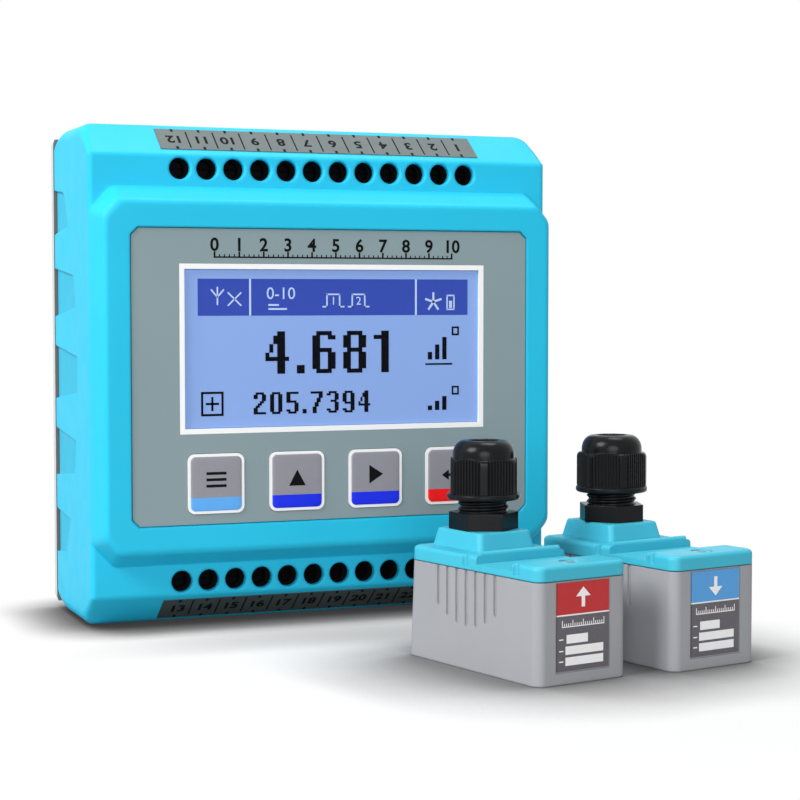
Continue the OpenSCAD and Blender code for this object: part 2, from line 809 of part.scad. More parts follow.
module chips() color(black) in_case() for (i = [0 : len(chip_sizes) - 1])
    on_main(chip_places[i], [chip_sizes[i].x, chip_t, chip_sizes[i].y]);

module pulse_transformers() color([0.75, 0.62, 0.2]) in_case()
    for (p = trafo_places) on_main(p, trafo_size);

// One terminal block; the bottom one is the top one mirrored
module terminal_block(side) color(terminal_green) in_case() mirror([0, 0, side > 0 ? 0 : 1]) difference() {
    side_bar(-row_len / 2 - term_end, row_len / 2 + term_end) polygon([
        [term_front_y, row_z - term_in], [term_front_y, row_z + term_out - term_cut.y],
        [term_front_y + term_cut.x, row_z + term_out], [main_front_y, row_z + term_out],
        [main_front_y, row_z - term_in]]);
    at_ways(1) {
        rod_y(screw_bore_d, term_front_y - over, wire_y - clamp_front + over);
        cylinder_to_wire();
        translate([-clamp.x / 2 - clamp_gap, wire_y - clamp_front - clamp_gap, -clamp.z / 2 - clamp_gap])
            cube(clamp + 2 * clamp_gap * [1, 1, 1]);
    }
}
module cylinder_to_wire() {
    translate([0, wire_y, 0]) rod_z(wire_d, 0, term_out + over);
}
module terminal_block_top() terminal_block(1);
module terminal_block_bottom() terminal_block(-1);

// Metal wire clamps, each with its wire hole and its screw hole
module wire_clamps(side) color(steel) in_case() mirror([0, 0, side > 0 ? 0 : 1]) at_ways(1) difference() {
    translate([-clamp.x / 2, wire_y - clamp_front, -clamp.z / 2]) cube(clamp);
    translate([0, wire_y, 0]) rod_z(wire_d, -clamp.z, clamp.z);
    rod_y(term_shank_d + 2 * pilot_gap, wire_y - clamp_front - over, wire_y);
}
module wire_clamps_top() wire_clamps(1);
module wire_clamps_bottom() wire_clamps(-1);

module terminal_screws(side) color(steel) in_case() at_ways(side) difference() {
    union() {
        rod_y(term_head_d, term_head_y, term_head_y + term_head_t);
        rod_y(term_shank_d, term_head_y, wire_y - wire_d / 2);
    }
    translate([-term_head_d, term_head_y - over, -slot_w / 2])
        cube([2 * term_head_d, slot_d + over, slot_w]);
}
module terminal_screws_top() terminal_screws(1);
module terminal_screws_bottom() terminal_screws(-1);

module label_strip(side) color(shell_grey) in_case() mirror([0, 0, side > 0 ? 0 : 1])
    translate([0, block_rise + slope_run / 2, face_z + slope_drop / 2]) rotate([slope_angle, 0, 0])
        translate([-strip_w / 2, -strip_h / 2, 0]) cube([strip_w, strip_h, strip_t]);
module label_strip_top() label_strip(1);
module label_strip_bottom() label_strip(-1);

// Transducers: each is drawn about the middle of its footprint, then turned and set in its place
module at_upstream() {
    translate([up_x, -rest_y - up_front, 0]) rotate([0, 0, tr_turn]) children();
}
module at_downstream() {
    translate([dn_x, -rest_y - dn_front, 0]) rotate([0, 0, tr_turn]) children();
}

// A flat plate with the transducer's outline, set in by w, its far end let out by flare
module tr_plate(z, t, w, flare) {
    translate([0, flare / 2, z]) linear_extrude(t)
        round_rect(tr_w - 2 * w, tr_l - 2 * w + flare, tr_r - w * corner_share);
}
corner_share = 0.5;

// Grooves hanging from the seam on one long side, their feet on a shallow arc
module side_grooves() {
    for (i = [0 : groove_n - 1]) {
        len = groove_len * groove_shares[i];
        translate([tr_w / 2 - groove_d, (i - (groove_n - 1) / 2) * groove_pitch + groove_mid, tr_h - len]) {
            translate([0, -groove_w / 2, 0]) cube([groove_d + over, groove_w, len + over]);
            rotate([0, 90, 0]) cylinder(d = groove_w, h = groove_d + over);
        }
    }
}

// The gasket's outline, round the body's upper edge
module gasket_outline() {
    half = [tr_w / 2 - gasket_edge, tr_l / 2 - gasket_edge];
    difference() {
        round_rect(2 * half.x, 2 * half.y, tr_r - gasket_edge);
        round_rect(2 * (half.x - gasket_w), 2 * (half.y - gasket_w), tr_r - gasket_edge - gasket_w);
    }
}

module tr_body() color(shell_grey) difference() {
    union() {
        difference() {
            hull() {
                tr_plate(0, skin, 0, tr_flare);
                tr_plate(tr_h - skin, skin, 0, 0);
            }
            tr_plate(tr_floor, tr_h, tr_wall, 0);
        }
        translate([0, near_y + lid_screw_in, 0]) rod_z(lid_pillar_d, tr_floor - skin, lid_z);
    }
    wedge_block(wedge_gap);
    for (side = [0, 1]) mirror([side, 0, 0]) side_grooves();
    translate([0, 0, tr_h - gasket_groove])
        linear_extrude(gasket_groove + tr_seam / 2) gasket_outline();
    translate([-label_w / 2 - label_gap, near_y - over, label_low - label_gap])
        cube([label_w + 2 * label_gap, label_sink + over, tr_h]);
    translate([0, near_y + lid_screw_in, 0])
        rod_z(lid_screw[2] + 2 * pilot_gap, lid_top - lid_screw[1] - lid_screw[3], lid_z + over);
}

module tr_gasket() color(black) translate([0, 0, tr_h - gasket_groove])
    linear_extrude(gasket_groove + tr_seam) gasket_outline();

// Acoustic wedge, let out by g where it passes the floor
module wedge_block(g) {
    y0 = near_y + lid_pillar_d + wedge_near;
    translate([0, 0, -g * over]) side_bar(-wedge_w / 2 - g, wedge_w / 2 + g) polygon([
        [y0 - g, 0], [y0 + wedge_len + g, 0], [y0 + wedge_len + g, wedge_foot + g],
        [y0 + wedge_back + wedge_slope + g, wedge_foot + g], [y0 + wedge_back, wedge_top],
        [y0 - g, wedge_top]]);
}
module tr_wedge() color([0.72, 0.55, 0.25]) wedge_block(0);

// Piezo crystal on the wedge's slope
module tr_crystal() {
    y0 = near_y + lid_pillar_d + wedge_near;
    drop = wedge_top - wedge_foot;
    color(steel) translate([0, y0 + wedge_back + wedge_slope / 2, (wedge_top + wedge_foot) / 2])
        rotate([-atan2(drop, wedge_slope), 0, 0])
            translate([-crystal_size.x / 2, -crystal_size.y / 2, 0]) cube(crystal_size);
}

module tr_potting() color([0.2, 0.2, 0.22]) difference() {
    tr_plate(potting_z, potting_t, tr_wall + potting_gap, 0);
    translate([0, near_y + lid_screw_in, 0])
        rod_z(lid_pillar_d + 2 * potting_gap, potting_z - over, potting_z + potting_t + over);
}

// A thin plate of the pedestal, its face at z
module pedestal_plate(z, s) {
    translate([0, gland_y, z - skin]) linear_extrude(skin) round_rect(s.x, s.y, ped_r);
}

module tr_cover() color(cyan) difference() {
    union() {
        difference() {
            hull() {
                tr_plate(lid_z, lid_side_h, 0, 0);
                tr_plate(lid_top - skin, skin, lid_bevel, 0);
            }
            translate([-tr_w / 2 - over, channel_y, lid_top - channel_d])
                cube([tr_w + 2 * over, channel_w, channel_d + over]);
            for (sx = [-1, 1], y = [channel_y - notch_out[0], bead_y + notch_out[1]])
                translate([sx * tr_w / 2, y, 0]) rod_z(2 * notch_r, lid_z + notch_up, lid_top + over);
        }
        translate([0, bead_y + bead_w / 2, lid_top]) {
            translate([-bead_len / 2, -bead_w / 2, -channel_d]) cube([bead_len, bead_w, channel_d]);
            rotate([0, 90, 0]) translate([0, 0, -bead_len / 2]) cylinder(d = 2 * bead_h, h = bead_len);
        }
        hull() {
            pedestal_plate(lid_top, ped_base);
            pedestal_plate(gland_z, ped_top);
        }
    }
    translate([0, gland_y, 0]) rod_z(gland_d + 2 * lid_hole_gap, lid_z - over, gland_z + over);
    translate([0, near_y + lid_screw_in, 0]) {
        rod_z(lid_screw[2] + 2 * pilot_gap, lid_z - over, lid_top);
        rod_z(lid_screw[0] + head_gap, lid_top - lid_screw[1], lid_top + over);
    }
}

module tr_cover_screw() color(steel) translate([0, near_y + lid_screw_in, 0]) difference() {
    union() {
        rod_z(lid_screw[0], lid_top - lid_screw[1], lid_top - head_gap);
        rod_z(lid_screw[2], lid_top - lid_screw[3], lid_top - lid_screw[1] / 2);
    }
    for (a = [0, 90]) rotate([0, 0, a])
        translate([-lid_screw[0] * cross_share / 2, -slot_w / 2, lid_top - lid_screw[1] / 2 - head_gap])
            cube([lid_screw[0] * cross_share, slot_w, lid_screw[1]]);
}

module tr_label() color([0.37, 0.36, 0.38])
    translate([-label_w / 2, near_y + label_sink - label_t, label_low])
        cube([label_w, label_t, tr_h - label_low - label_gap]);

// Six-sided prism, from its size across flats
module hex_prism(flats, z, h) {
    translate([0, 0, z]) rotate([0, 0, 30]) cylinder(d = flats / cos(30), h = h, $fn = 6);
}

module tr_gland_body(turn) color(black) translate([0, gland_y, 0]) rotate([0, 0, turn]) difference() {
    union() {
        intersection() {
            hex_prism(gland_hex, gland_z, gland_hex_h);
            rod_z(gland_hex * hex_round_share, gland_z, gland_z + gland_hex_h);
        }
        rod_z(gland_d, gland_z - gland_thread_l, gland_z + skin);
        rod_z(neck_d - 2 * neck_step, gland_z, gland_z + gland_hex_h + nut_gap + flange_h);
        rod_z(neck_d, gland_z + gland_hex_h + nut_gap + flange_h, gland_z + gland_hex_h + neck_h);
    }
    rod_z(neck_bore_d, gland_z - gland_thread_l - over, gland_z + gland_hex_h + neck_h + over);
}
hex_round_share = 1.15;

module tr_gland_seal() color([0.2, 0.2, 0.2]) translate([0, gland_y, 0]) difference() {
    rod_z(chamber_d - 2 * seal_gap, seal_z, seal_z + seal_h);
    rod_z(seal_bore_d, seal_z - over, seal_z + seal_h + over);
}

// Half section of the dome above the nut's hexagon, in radius and height
function dome_arc() = [for (i = [0 : dome_steps]) let (a = 90 * i / dome_steps)
    [dome_flat_d / 2 + (dome_d - dome_flat_d) / 2 * cos(a), dome_side + (dome_h - dome_side) * sin(a)]];

// The nut's outline with ribs cut into its six flats
module ribbed_hex() {
    difference() {
        rotate(30) circle(d = nut_hex / cos(30), $fn = 6);
        for (f = [0 : 5], i = [0 : rib_n - 1]) rotate(60 * f)
            translate([nut_hex / 2 - rib_d, (i - (rib_n - 1) / 2) * rib_pitch - rib_w / 2])
                square([rib_d + over, rib_w]);
    }
}

module tr_gland_nut(turn) color(black) translate([0, gland_y, nut_z]) rotate([0, 0, turn]) difference() {
    union() {
        rotate_extrude() polygon([
            [0, 0], [flange_d / 2 - flange_edge, 0], [flange_d / 2, flange_edge],
            [flange_d / 2, flange_h - flange_edge], [flange_d / 2 - flange_edge, flange_h], [0, flange_h]]);
        translate([0, 0, flange_h - skin]) intersection() {
            linear_extrude(nut_h + skin) ribbed_hex();
            rotate_extrude() polygon([
                [0, 0], [nut_round_d / 2, 0], [nut_round_d / 2, nut_h - nut_bevel_h],
                [nut_bevel_d / 2, nut_h + skin], [0, nut_h + skin]]);
        }
        translate([0, 0, flange_h + nut_h - skin]) rotate_extrude()
            polygon(concat([[0, 0], [dome_d / 2, 0]], dome_arc(), [[0, dome_h]]));
    }
    rod_z(neck_d + 2 * nut_bore_gap, -over, seal_z - nut_z);
    rod_z(chamber_d, -over, flange_h + nut_h + chamber_h);
    rod_z(gland_mouth_d, 0, flange_h + nut_h + dome_h + over);
}

module upstream_body() at_upstream() tr_body();
module upstream_wedge() at_upstream() tr_wedge();
module upstream_crystal() at_upstream() tr_crystal();
module upstream_potting() at_upstream() tr_potting();
module upstream_gasket() at_upstream() tr_gasket();
module upstream_cover() at_upstream() tr_cover();
module upstream_cover_screw() at_upstream() tr_cover_screw();
module upstream_label() at_upstream() tr_label();
module upstream_gland_body() at_upstream() tr_gland_body(up_hex_turn);
module upstream_gland_seal() at_upstream() tr_gland_seal();
module upstream_gland_nut() at_upstream() tr_gland_nut(up_nut_turn);
module downstream_body() at_downstream() tr_body();
module downstream_wedge() at_downstream() tr_wedge();
module downstream_crystal() at_downstream() tr_crystal();
module downstream_potting() at_downstream() tr_potting();
module downstream_gasket() at_downstream() tr_gasket();
module downstream_cover() at_downstream() tr_cover();
module downstream_cover_screw() at_downstream() tr_cover_screw();
module downstream_label() at_downstream() tr_label();
module downstream_gland_body() at_downstream() tr_gland_body(dn_hex_turn);
module downstream_gland_seal() at_downstream() tr_gland_seal();
module downstream_gland_nut() at_downstream() tr_gland_nut(dn_nut_turn);

front_cover();
rear_base();
cover_screws();
rail_clip();
rail_clip_spring();
panel_film();
display_border();
display_window();
lcd_glass();
lcd_frame();
backlight();
display_board();
display_screws();
key_switches();
key_menu();
key_up();
key_next();
key_enter();
main_board();
main_board_screws();
ribbon_sockets();
ribbon_cable();
relay();
power_converter();
capacitors();
chips();
pulse_transformers();
terminal_block_top();
terminal_block_bottom();
terminal_screws_top();
terminal_screws_bottom();
wire_clamps_top();
wire_clamps_bottom();
label_strip_top();
label_strip_bottom();
upstream_body();
upstream_wedge();
upstream_crystal();
upstream_potting();
upstream_gasket();
upstream_cover();
upstream_cover_screw();
upstream_label();
upstream_gland_body();
upstream_gland_seal();
upstream_gland_nut();
downstream_body();
downstream_wedge();
downstream_crystal();
downstream_potting();
downstream_gasket();
downstream_cover();
downstream_cover_screw();
downstream_label();
downstream_gland_body();
downstream_gland_seal();
downstream_gland_nut();
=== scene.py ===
# Ultrasonic flow meter on its rail housing, with a pair of clamp-on transducers in front of it.
# Sizes are written in millimetres and become metres where a mesh is made.
import json
import math

import bpy
import numpy as np
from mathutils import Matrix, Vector

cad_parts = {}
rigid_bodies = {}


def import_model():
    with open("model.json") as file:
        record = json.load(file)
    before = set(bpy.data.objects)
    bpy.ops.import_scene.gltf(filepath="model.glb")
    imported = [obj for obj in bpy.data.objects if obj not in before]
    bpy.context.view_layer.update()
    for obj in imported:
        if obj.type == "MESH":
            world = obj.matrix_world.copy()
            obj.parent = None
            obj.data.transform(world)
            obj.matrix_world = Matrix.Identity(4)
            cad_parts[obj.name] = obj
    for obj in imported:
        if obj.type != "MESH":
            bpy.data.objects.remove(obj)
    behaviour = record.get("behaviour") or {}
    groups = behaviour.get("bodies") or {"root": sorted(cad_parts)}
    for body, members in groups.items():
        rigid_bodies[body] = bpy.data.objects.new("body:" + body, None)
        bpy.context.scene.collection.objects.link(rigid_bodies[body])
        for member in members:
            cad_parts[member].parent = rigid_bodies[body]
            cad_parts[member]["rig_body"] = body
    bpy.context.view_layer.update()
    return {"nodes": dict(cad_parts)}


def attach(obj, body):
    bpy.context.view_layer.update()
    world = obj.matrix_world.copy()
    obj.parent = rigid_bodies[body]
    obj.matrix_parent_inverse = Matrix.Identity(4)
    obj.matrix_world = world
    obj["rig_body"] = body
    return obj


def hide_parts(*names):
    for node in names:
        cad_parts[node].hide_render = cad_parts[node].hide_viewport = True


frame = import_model()
nodes = frame["nodes"]
scene = bpy.context.scene
mm = 0.001
print("frame loaded with", len(nodes), "nodes")

# the photograph's viewing angle
cameraSizes = {"place": (-182.1, -542.4, 90.2), "lens": 88.4, "pitchDown": 3.0, "turn": -21.49}


def linked(name, data):
    holder = bpy.data.objects.new(name, data)
    scene.collection.objects.link(holder)
    return holder


cameraData = bpy.data.cameras.new("viewCamera")
cameraData.lens = cameraSizes["lens"]
cameraData.sensor_width = 36
cameraData.clip_start, cameraData.clip_end = 0.02, 20
camera = linked("viewCamera", cameraData)
camera.location = Vector(cameraSizes["place"]) * mm
camera.rotation_euler = (
    math.radians(90 - cameraSizes["pitchDown"]), 0, math.radians(cameraSizes["turn"]))
scene.camera = camera

# where the housing and the two transducers stand
caseSizes = {
    "halfW": 67.1, "halfH": 68.75, "restY": 32.1,
    "blockRise": 8.2, "ridgeY": 19.8, "faceZ": 59.95, "sideStep": 0.15, "stepY": 22.6,
    # the rear base is painted dark as shade in front of this depth, where it shows through the vents
    "crownY": 44.4, "crownR": 20.0, "slope": (11.6, 8.8), "paintedShadeY": 53.5,
}
transducerSizes = {
    "upstream": (19.3, -108.3), "downstream": (57.8, -103.2), "turn": 12.5, "glandY": 13.4,
}
sides = ("upstream", "downstream")


# housing points: X to the right, Y back from the keypad face, Z up from the housing's middle
def onCase(part):
    return (part[0] + np.array([0, -caseSizes["restY"], caseSizes["halfH"]])) * mm, part[1]


# transducer points: about the middle of the footprint, turned and set in front of the housing
def onTransducer(side, part):
    p = np.asarray(part[0])
    a = math.radians(transducerSizes["turn"])
    x, y = transducerSizes[side]
    return np.column_stack([
        p[:, 0] * math.cos(a) - p[:, 1] * math.sin(a) + x,
        p[:, 0] * math.sin(a) + p[:, 1] * math.cos(a) + y,
        p[:, 2]]) * mm, part[1]


# materials
def colour(r, g, b):
    c = np.array([r, g, b]) / 255
    return (*np.where(c <= 0.04045, c / 12.92, ((c + 0.055) / 1.055) ** 2.4).tolist(), 1.0)


# a shader node with its sockets filled: a socket takes a plain value or another node's output
def addNode(tree, kind, sockets, **settings):
    node = tree.nodes.new("ShaderNode" + kind)
    for name, value in settings.items():
        setattr(node, name, value)
    feed(tree, node, sockets)
    return node


def feed(tree, node, sockets):
    for name, value in sockets.items():
        if isinstance(value, bpy.types.NodeSocket):
            tree.links.new(value, node.inputs[name])
        else:
            node.inputs[name].default_value = value


finishes = {}


# a new material by name, filled in by one of the makers below
def addFinish(name, maker, *values):
    finishes[name] = material = bpy.data.materials.new(name)
    material.use_nodes = True
    tree = material.node_tree
    maker(tree, tree.nodes["Principled BSDF"], *values)


def objectCoords(tree):
    return addNode(tree, "TexCoord", {}).outputs["Object"]


def objectAxis(tree, axis):
    return addNode(tree, "SeparateXYZ", {0: objectCoords(tree)}).outputs[axis]


def objectNoise(tree, scale, detail=2):
    return addNode(tree, "TexNoise", {
        "Scale": scale, "Detail": detail, "Vector": objectCoords(tree),
    }).outputs["Fac"]


def spread(tree, source, low, high, fromLow=0.3, fromHigh=0.7):
    return addNode(tree, "MapRange", {
        "Value": source, "From Min": fromLow, "From Max": fromHigh, "To Min": low, "To Max": high,
    }).outputs["Result"]


def blendColours(tree, factor, first, second):
    return addNode(tree, "Mix", {0: factor, 6: first, 7: second}, data_type="RGBA").outputs[2]


def mathNode(tree, operation, first, second):
    return addNode(tree, "Math", {0: first, 1: second}, operation=operation).outputs[0]


def tinted(base, share):
    return (*[min(1.0, c * share) for c in base[:3]], 1.0)


# a tone that wanders a little to both sides of the base colour
def drifting(tree, factor, base, reach):
    return blendColours(tree, factor, tinted(base, 1 - reach), tinted(base, 1 + reach))


# colour and shine, with a gloss that drifts between two values of the roughness
def paint(tree, shader, tone, specular, scale, low, high, detail=2):
    feed(tree, shader, {
        "Base Color": tone, "Specular IOR Level": specular,
        "Roughness": spread(tree, objectNoise(tree, scale, detail), low, high)})


def addBump(tree, shader, height, strength, distance, rounded=0):
    bump = addNode(tree, "Bump", {"Strength": strength, "Distance": distance, "Height": height})
    if rounded:
        edge = addNode(tree, "Bevel", {"Radius": rounded}, samples=6)
        feed(tree, bump, {"Normal": edge.outputs["Normal"]})
    feed(tree, shader, {"Normal": bump.outputs["Normal"]})


# moulded plastic: a slow drift of the colour, a fine spark-eroded grain and uneven gloss; where a depth is
# given, painted shade darkens everything in front of it
def mouldedPlastic(tree, shader, base, rough=0.45, specular=0.4, grain=0.12, mottle=0.03,
                   rounded=0.0, paintedShadeAhead=None):
    tone = drifting(tree, spread(tree, objectNoise(tree, 45, 3), 0, 1), base, mottle)
    if paintedShadeAhead is not None:
        # painted shade: in front of the given depth the colour drops to a quarter, standing in for the
        # shade inside the housing
        depth = spread(tree, objectAxis(tree, "Y"), 0, 1, paintedShadeAhead, paintedShadeAhead + 0.0002)
        tone = blendColours(tree, depth, tinted(base, 0.25), tone)
    paint(tree, shader, tone, specular, 160, rough - 0.04, rough + 0.05, 3)
    addBump(tree, shader, objectNoise(tree, 2600), grain, 0.00006, rounded)


# metal: fine scratches stretched along one axis
def turnedMetal(tree, shader, base, rough=0.32):
    stretched = addNode(tree, "Mapping", {"Vector": objectCoords(tree), "Scale": (1, 1, 14)})
    noise = addNode(tree, "TexNoise", {
        "Scale": 700, "Detail": 3, "Vector": stretched.outputs["Vector"]}).outputs["Fac"]
    feed(tree, shader, {
        "Base Color": blendColours(tree, noise, tinted(base, 0.9), tinted(base, 1.08)),
        "Roughness": spread(tree, noise, rough - 0.06, rough + 0.1), "Metallic": 1})
    addBump(tree, shader, noise, 0.15, 0.00003)


# printed ink: nearly flat colour with a slight unevenness in tone and gloss
def printedInk(tree, shader, base, rough=0.5, specular=0.3):
    tone = drifting(tree, objectNoise(tree, 900), base, 0.04)
    paint(tree, shader, tone, specular, 500, rough - 0.03, rough + 0.04)


# one part of the height gets the first colour and the rest the second, with a crisp line between
def heightSplit(tree, z, below, above, soft=0.00004):
    factor = spread(tree, objectAxis(tree, "Z"), 0, 1, z - soft, z + soft)
    return blendColours(tree, factor, below, above)


# key face: pad-printed grey plastic with a coloured band along its foot
def keyFace(tree, shader, base, band, z):
    drift = objectNoise(tree, 700, 3)
    foot, body = (drifting(tree, drift, tone, 0.05) for tone in (band, base))
    paint(tree, shader, heightSplit(tree, z, foot, body), 0.4, 400, 0.36, 0.46)
    addBump(tree, shader, objectNoise(tree, 2600), 0.1, 0.00005)


# transducer label: enamelled plate, coloured head above a fine white line, dark grey below
def labelPlate(tree, shader, head, z, line):
    speck = objectNoise(tree, 1500, 3)
    dark = blendColours(tree, speck, colour(88, 85, 91), colour(101, 98, 104))
    lower = heightSplit(tree, z, dark, colour(238, 238, 238))
    tone = heightSplit(tree, z + line, lower, drifting(tree, speck, head, 0.05))
    paint(tree, shader, tone, 0.35, 400, 0.42, 0.55)
    addBump(tree, shader, speck, 0.08, 0.00004)


# display: lit liquid crystal with a faint grid of dots
def litDisplay(tree, shader, base, glow):
    step, edge = 0.00028, 0.00006
    grid = mathNode(tree, "MULTIPLY", *(
        spread(tree, mathNode(tree, "PINGPONG", objectAxis(tree, axis), step), 0, 1, 0.0, edge)
        for axis in ("X", "Z")))
    dots = blendColours(tree, grid, tinted(base, 0.93), base)
    tone = blendColours(tree, objectNoise(tree, 60), tinted(base, 0.96), dots)
    feed(tree, shader, {
        "Base Color": tone, "Emission Color": tone, "Emission Strength": glow,
        "Roughness": 0.4, "Specular IOR Level": 0.2})


def clearWindow(tree, shader):
    paint(tree, shader, colour(40, 50, 70), 0.25, 90, 0.12, 0.2)
    feed(tree, shader, {"Alpha": 0.015})


# circuit board: solder mask over copper tracks
def circuitBoard(tree, shader, base):
    tracks = addNode(tree, "TexVoronoi", {"Scale": 260, "Vector": objectCoords(tree)},
                     feature="DISTANCE_TO_EDGE")
    line = spread(tree, tracks.outputs["Distance"], 1, 0, 0.04, 0.07)
    feed(tree, shader, {
        "Base Color": blendColours(tree, line, base, tinted(base, 1.5)), "Roughness": 0.35})
    addBump(tree, shader, line, 0.2, 0.00004)


cyan = (36, 190, 225)
# plastics: colour, roughness, shine, grain, drift of the tone, edge radius, depth in front of which the
# colour is painted dark as shade
plastics = {
    "casePlastic": (cyan, 0.5, 0.2, 0.1, 0.02, 0.0009),
    "coverPlastic": ((62, 178, 202), 0.42, 0.3, 0.12, 0.02, 0.0005),
    # the rear base: its front face, seen only through the vents, gets painted shade
    "basePlastic": ((196, 199, 200), 0.5, 0.35, 0.12, 0.03, 0.0,
                    (caseSizes["paintedShadeY"] - caseSizes["restY"]) * mm),
    "ribbonGrey": ((170, 172, 176), 0.5, 0.35),
    "bodyPlastic": ((153, 154, 158), 0.5, 0.25, 0.2, 0.03, 0.0004),
    "blackPlastic": ((32, 32, 35), 0.4, 0.35, 0.12, 0.06),
    "glandPlastic": ((17, 18, 20), 0.22, 0.13, 0.08, 0.08, 0.0003),
    "panelFilm": ((133, 152, 156), 0.55, 0.25, 0.18, 0.015),
    "whitePlastic": ((244, 244, 244), 0.45, 0.3, 0.05, 0.01),
    "terminalPlastic": ((9, 12, 12), 0.7, 0.05),
    "relayPlastic": ((40, 90, 165), 0.4, 0.4),
    "wedgePlastic": ((190, 150, 80), 0.35, 0.45),
    "pottingResin": ((45, 45, 50), 0.3, 0.45),
    "rubber": ((28, 28, 29), 0.7, 0.25, 0.3),
    "stripGrey": ((101, 110, 110), 0.55, 0.2, 0.1, 0.03),
    # painted shade: the bottom strip is the same grey as the top one, made darker for the shade on its
    # downward-facing slope
    "stripShadedGrey": ((66, 76, 76), 0.55, 0.2, 0.1, 0.03),
    "backlight": ((235, 238, 245), 0.5, 0.3),
    "capSleeve": ((40, 50, 105), 0.35, 0.45),
    "trafoTape": ((200, 165, 60), 0.5, 0.35),
}
metals = {
    "screwBlack": ((16, 16, 18), 0.5),
    "steel": ((212, 214, 217), 0.26),
    "brass": ((200, 165, 90), 0.35),
}
inks = {
    "blackInk": ((9, 9, 11), 0.6, 0.08),
    "lcdInk": ((5, 6, 10), 0.6, 0.05),
    "whiteInk": ((240, 240, 240),),
    "barInk": ((56, 80, 180), 0.6, 0.1),
    "paleInk": ((190, 212, 250),),
}
for maker, table in ((mouldedPlastic, plastics), (turnedMetal, metals), (printedInk, inks)):
    for name, (base, *values) in table.items():
        addFinish(name, maker, colour(*base), *values)
# painted shade: the case cyan made darker for the side pockets' floors, standing in for the shade in these
# shallow recesses
addFinish("pocketShadedPlastic", mouldedPlastic, tinted(colour(*cyan), 0.86), 0.5, 0.17, 0.1, 0.02, 0.0009)
addFinish("display", litDisplay, colour(131, 161, 217), 0.22)
addFinish("board", circuitBoard, colour(20, 88, 48))
addFinish("window", clearWindow)
finishes["window"].surface_render_method = "BLENDED"

# the nodes that wear each finish, and the same for the pieces that each transducer has
nodeFinishes = {
    "casePlastic": "front_cover",
    "basePlastic": "rear_base",
    "ribbonGrey": "ribbon_cable",
    "blackPlastic": "rail_clip ribbon_sockets chips power_converter key_switches",
    "steel": "cover_screws rail_clip_spring lcd_frame display_screws main_board_screws "
             "wire_clamps_top wire_clamps_bottom",
    "screwBlack": "terminal_screws_top terminal_screws_bottom",
    "panelFilm": "panel_film",
    "whitePlastic": "display_border key_menu key_up key_next key_enter",
    "window": "display_window",
    "display": "lcd_glass",
    "backlight": "backlight",
    "board": "display_board main_board",
    "relayPlastic": "relay",
    "capSleeve": "capacitors",
    "trafoTape": "pulse_transformers",
    "terminalPlastic": "terminal_block_top terminal_block_bottom",
    "stripGrey": "label_strip_top",
    # the bottom strip wears the darker copy of the strip grey as painted shade
    "stripShadedGrey": "label_strip_bottom",
}
sideFinishes = {
    "bodyPlastic": "body", "coverPlastic": "cover", "steel": "cover_screw",
    "glandPlastic": "gland_body gland_nut", "rubber": "gasket gland_seal",
    "wedgePlastic": "wedge", "brass": "crystal", "pottingResin": "potting",
}
labelSizes = {"low": 3.2, "high": 23.9, "left": -7.8, "width": 15.6, "headShare": 0.36, "line": 0.32,
              "y": -25.96, "thick": 0.03}


# a place on the label, as a share of its width or of its height from the top
def labelX(share):
    return labelSizes["left"] + labelSizes["width"] * share


def labelZ(share):
    return labelSizes["high"] - (labelSizes["high"] - labelSizes["low"]) * share


def dress(names, finish, prefix=""):
    for name in names.split():
        nodes[prefix + name].data.materials.clear()
        nodes[prefix + name].data.materials.append(finishes[finish])


for finish, names in nodeFinishes.items():
    dress(names, finish)
for side, head in zip(sides, (colour(184, 44, 46), colour(84, 156, 216))):
    for finish, names in sideFinishes.items():
        dress(names, finish, side + "_")
    line = labelSizes["line"]
    lineZ = labelZ(labelSizes["headShare"]) - line
    addFinish(side + "Label", labelPlate, head, lineZ * mm, line * mm)
    dress("label", side + "Label", side + "_")
print("materials made:", len(finishes))


# ways of making a mesh
def rawMesh(name, verts, faces):
    mesh = bpy.data.meshes.new(name)
    mesh.from_pydata(np.asarray(verts).tolist(), [], [list(face) for face in faces])
    return mesh


def meshPiece(name, part, finish, body, sharp=35):
    mesh = rawMesh(name, *part)
    mesh.update()
    mesh.materials.append(finishes[finish])
    mesh.shade_smooth()
    mesh.set_sharp_from_angle(angle=math.radians(sharp))
    piece = linked(name, mesh)
    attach(piece, body)
    return piece


def casePiece(name, part, finish, body, sharp=35):
    meshPiece(name, onCase(part), finish, body, sharp)


# an object's mesh as its modifiers or its font make it
def shownMesh(holder):
    return bpy.data.meshes.new_from_object(
        holder.evaluated_get(bpy.context.evaluated_depsgraph_get()))


def applyModifiers(piece):
    mesh = shownMesh(piece)
    piece.modifiers.clear()
    old, piece.data = piece.data, mesh
    bpy.data.meshes.remove(old)


# points and faces of a working mesh, which is then removed
def takenApart(mesh):
    verts = np.array([v.co for v in mesh.vertices])
    faces = [list(face.vertices) for face in mesh.polygons]
    bpy.data.meshes.remove(mesh)
    return verts, faces


# boxes along given axes: centre + i*a + j*b + k*c for i, j, k = -1 and 1, all boxes at once
def boxMesh(centres, a, b, c):
    centres, a, b, c = (np.asarray(v, float).reshape(-1, 1, 3) for v in (centres, a, b, c))
    i, j, k = (v.reshape(1, 8, 1) for v in np.meshgrid([-1, 1], [-1, 1], [-1, 1], indexing="ij"))
    verts = (centres + i * a + j * b + k * c).reshape(-1, 3)
    quads = np.array([[0, 1, 3, 2], [4, 6, 7, 5], [0, 4, 5, 1],
                      [2, 3, 7, 6], [0, 2, 6, 4], [1, 5, 7, 3]])
    count = len(verts) // 8
    faces = (np.arange(count)[:, None, None] * 8 + quads).reshape(-1, 4)
    return verts, faces


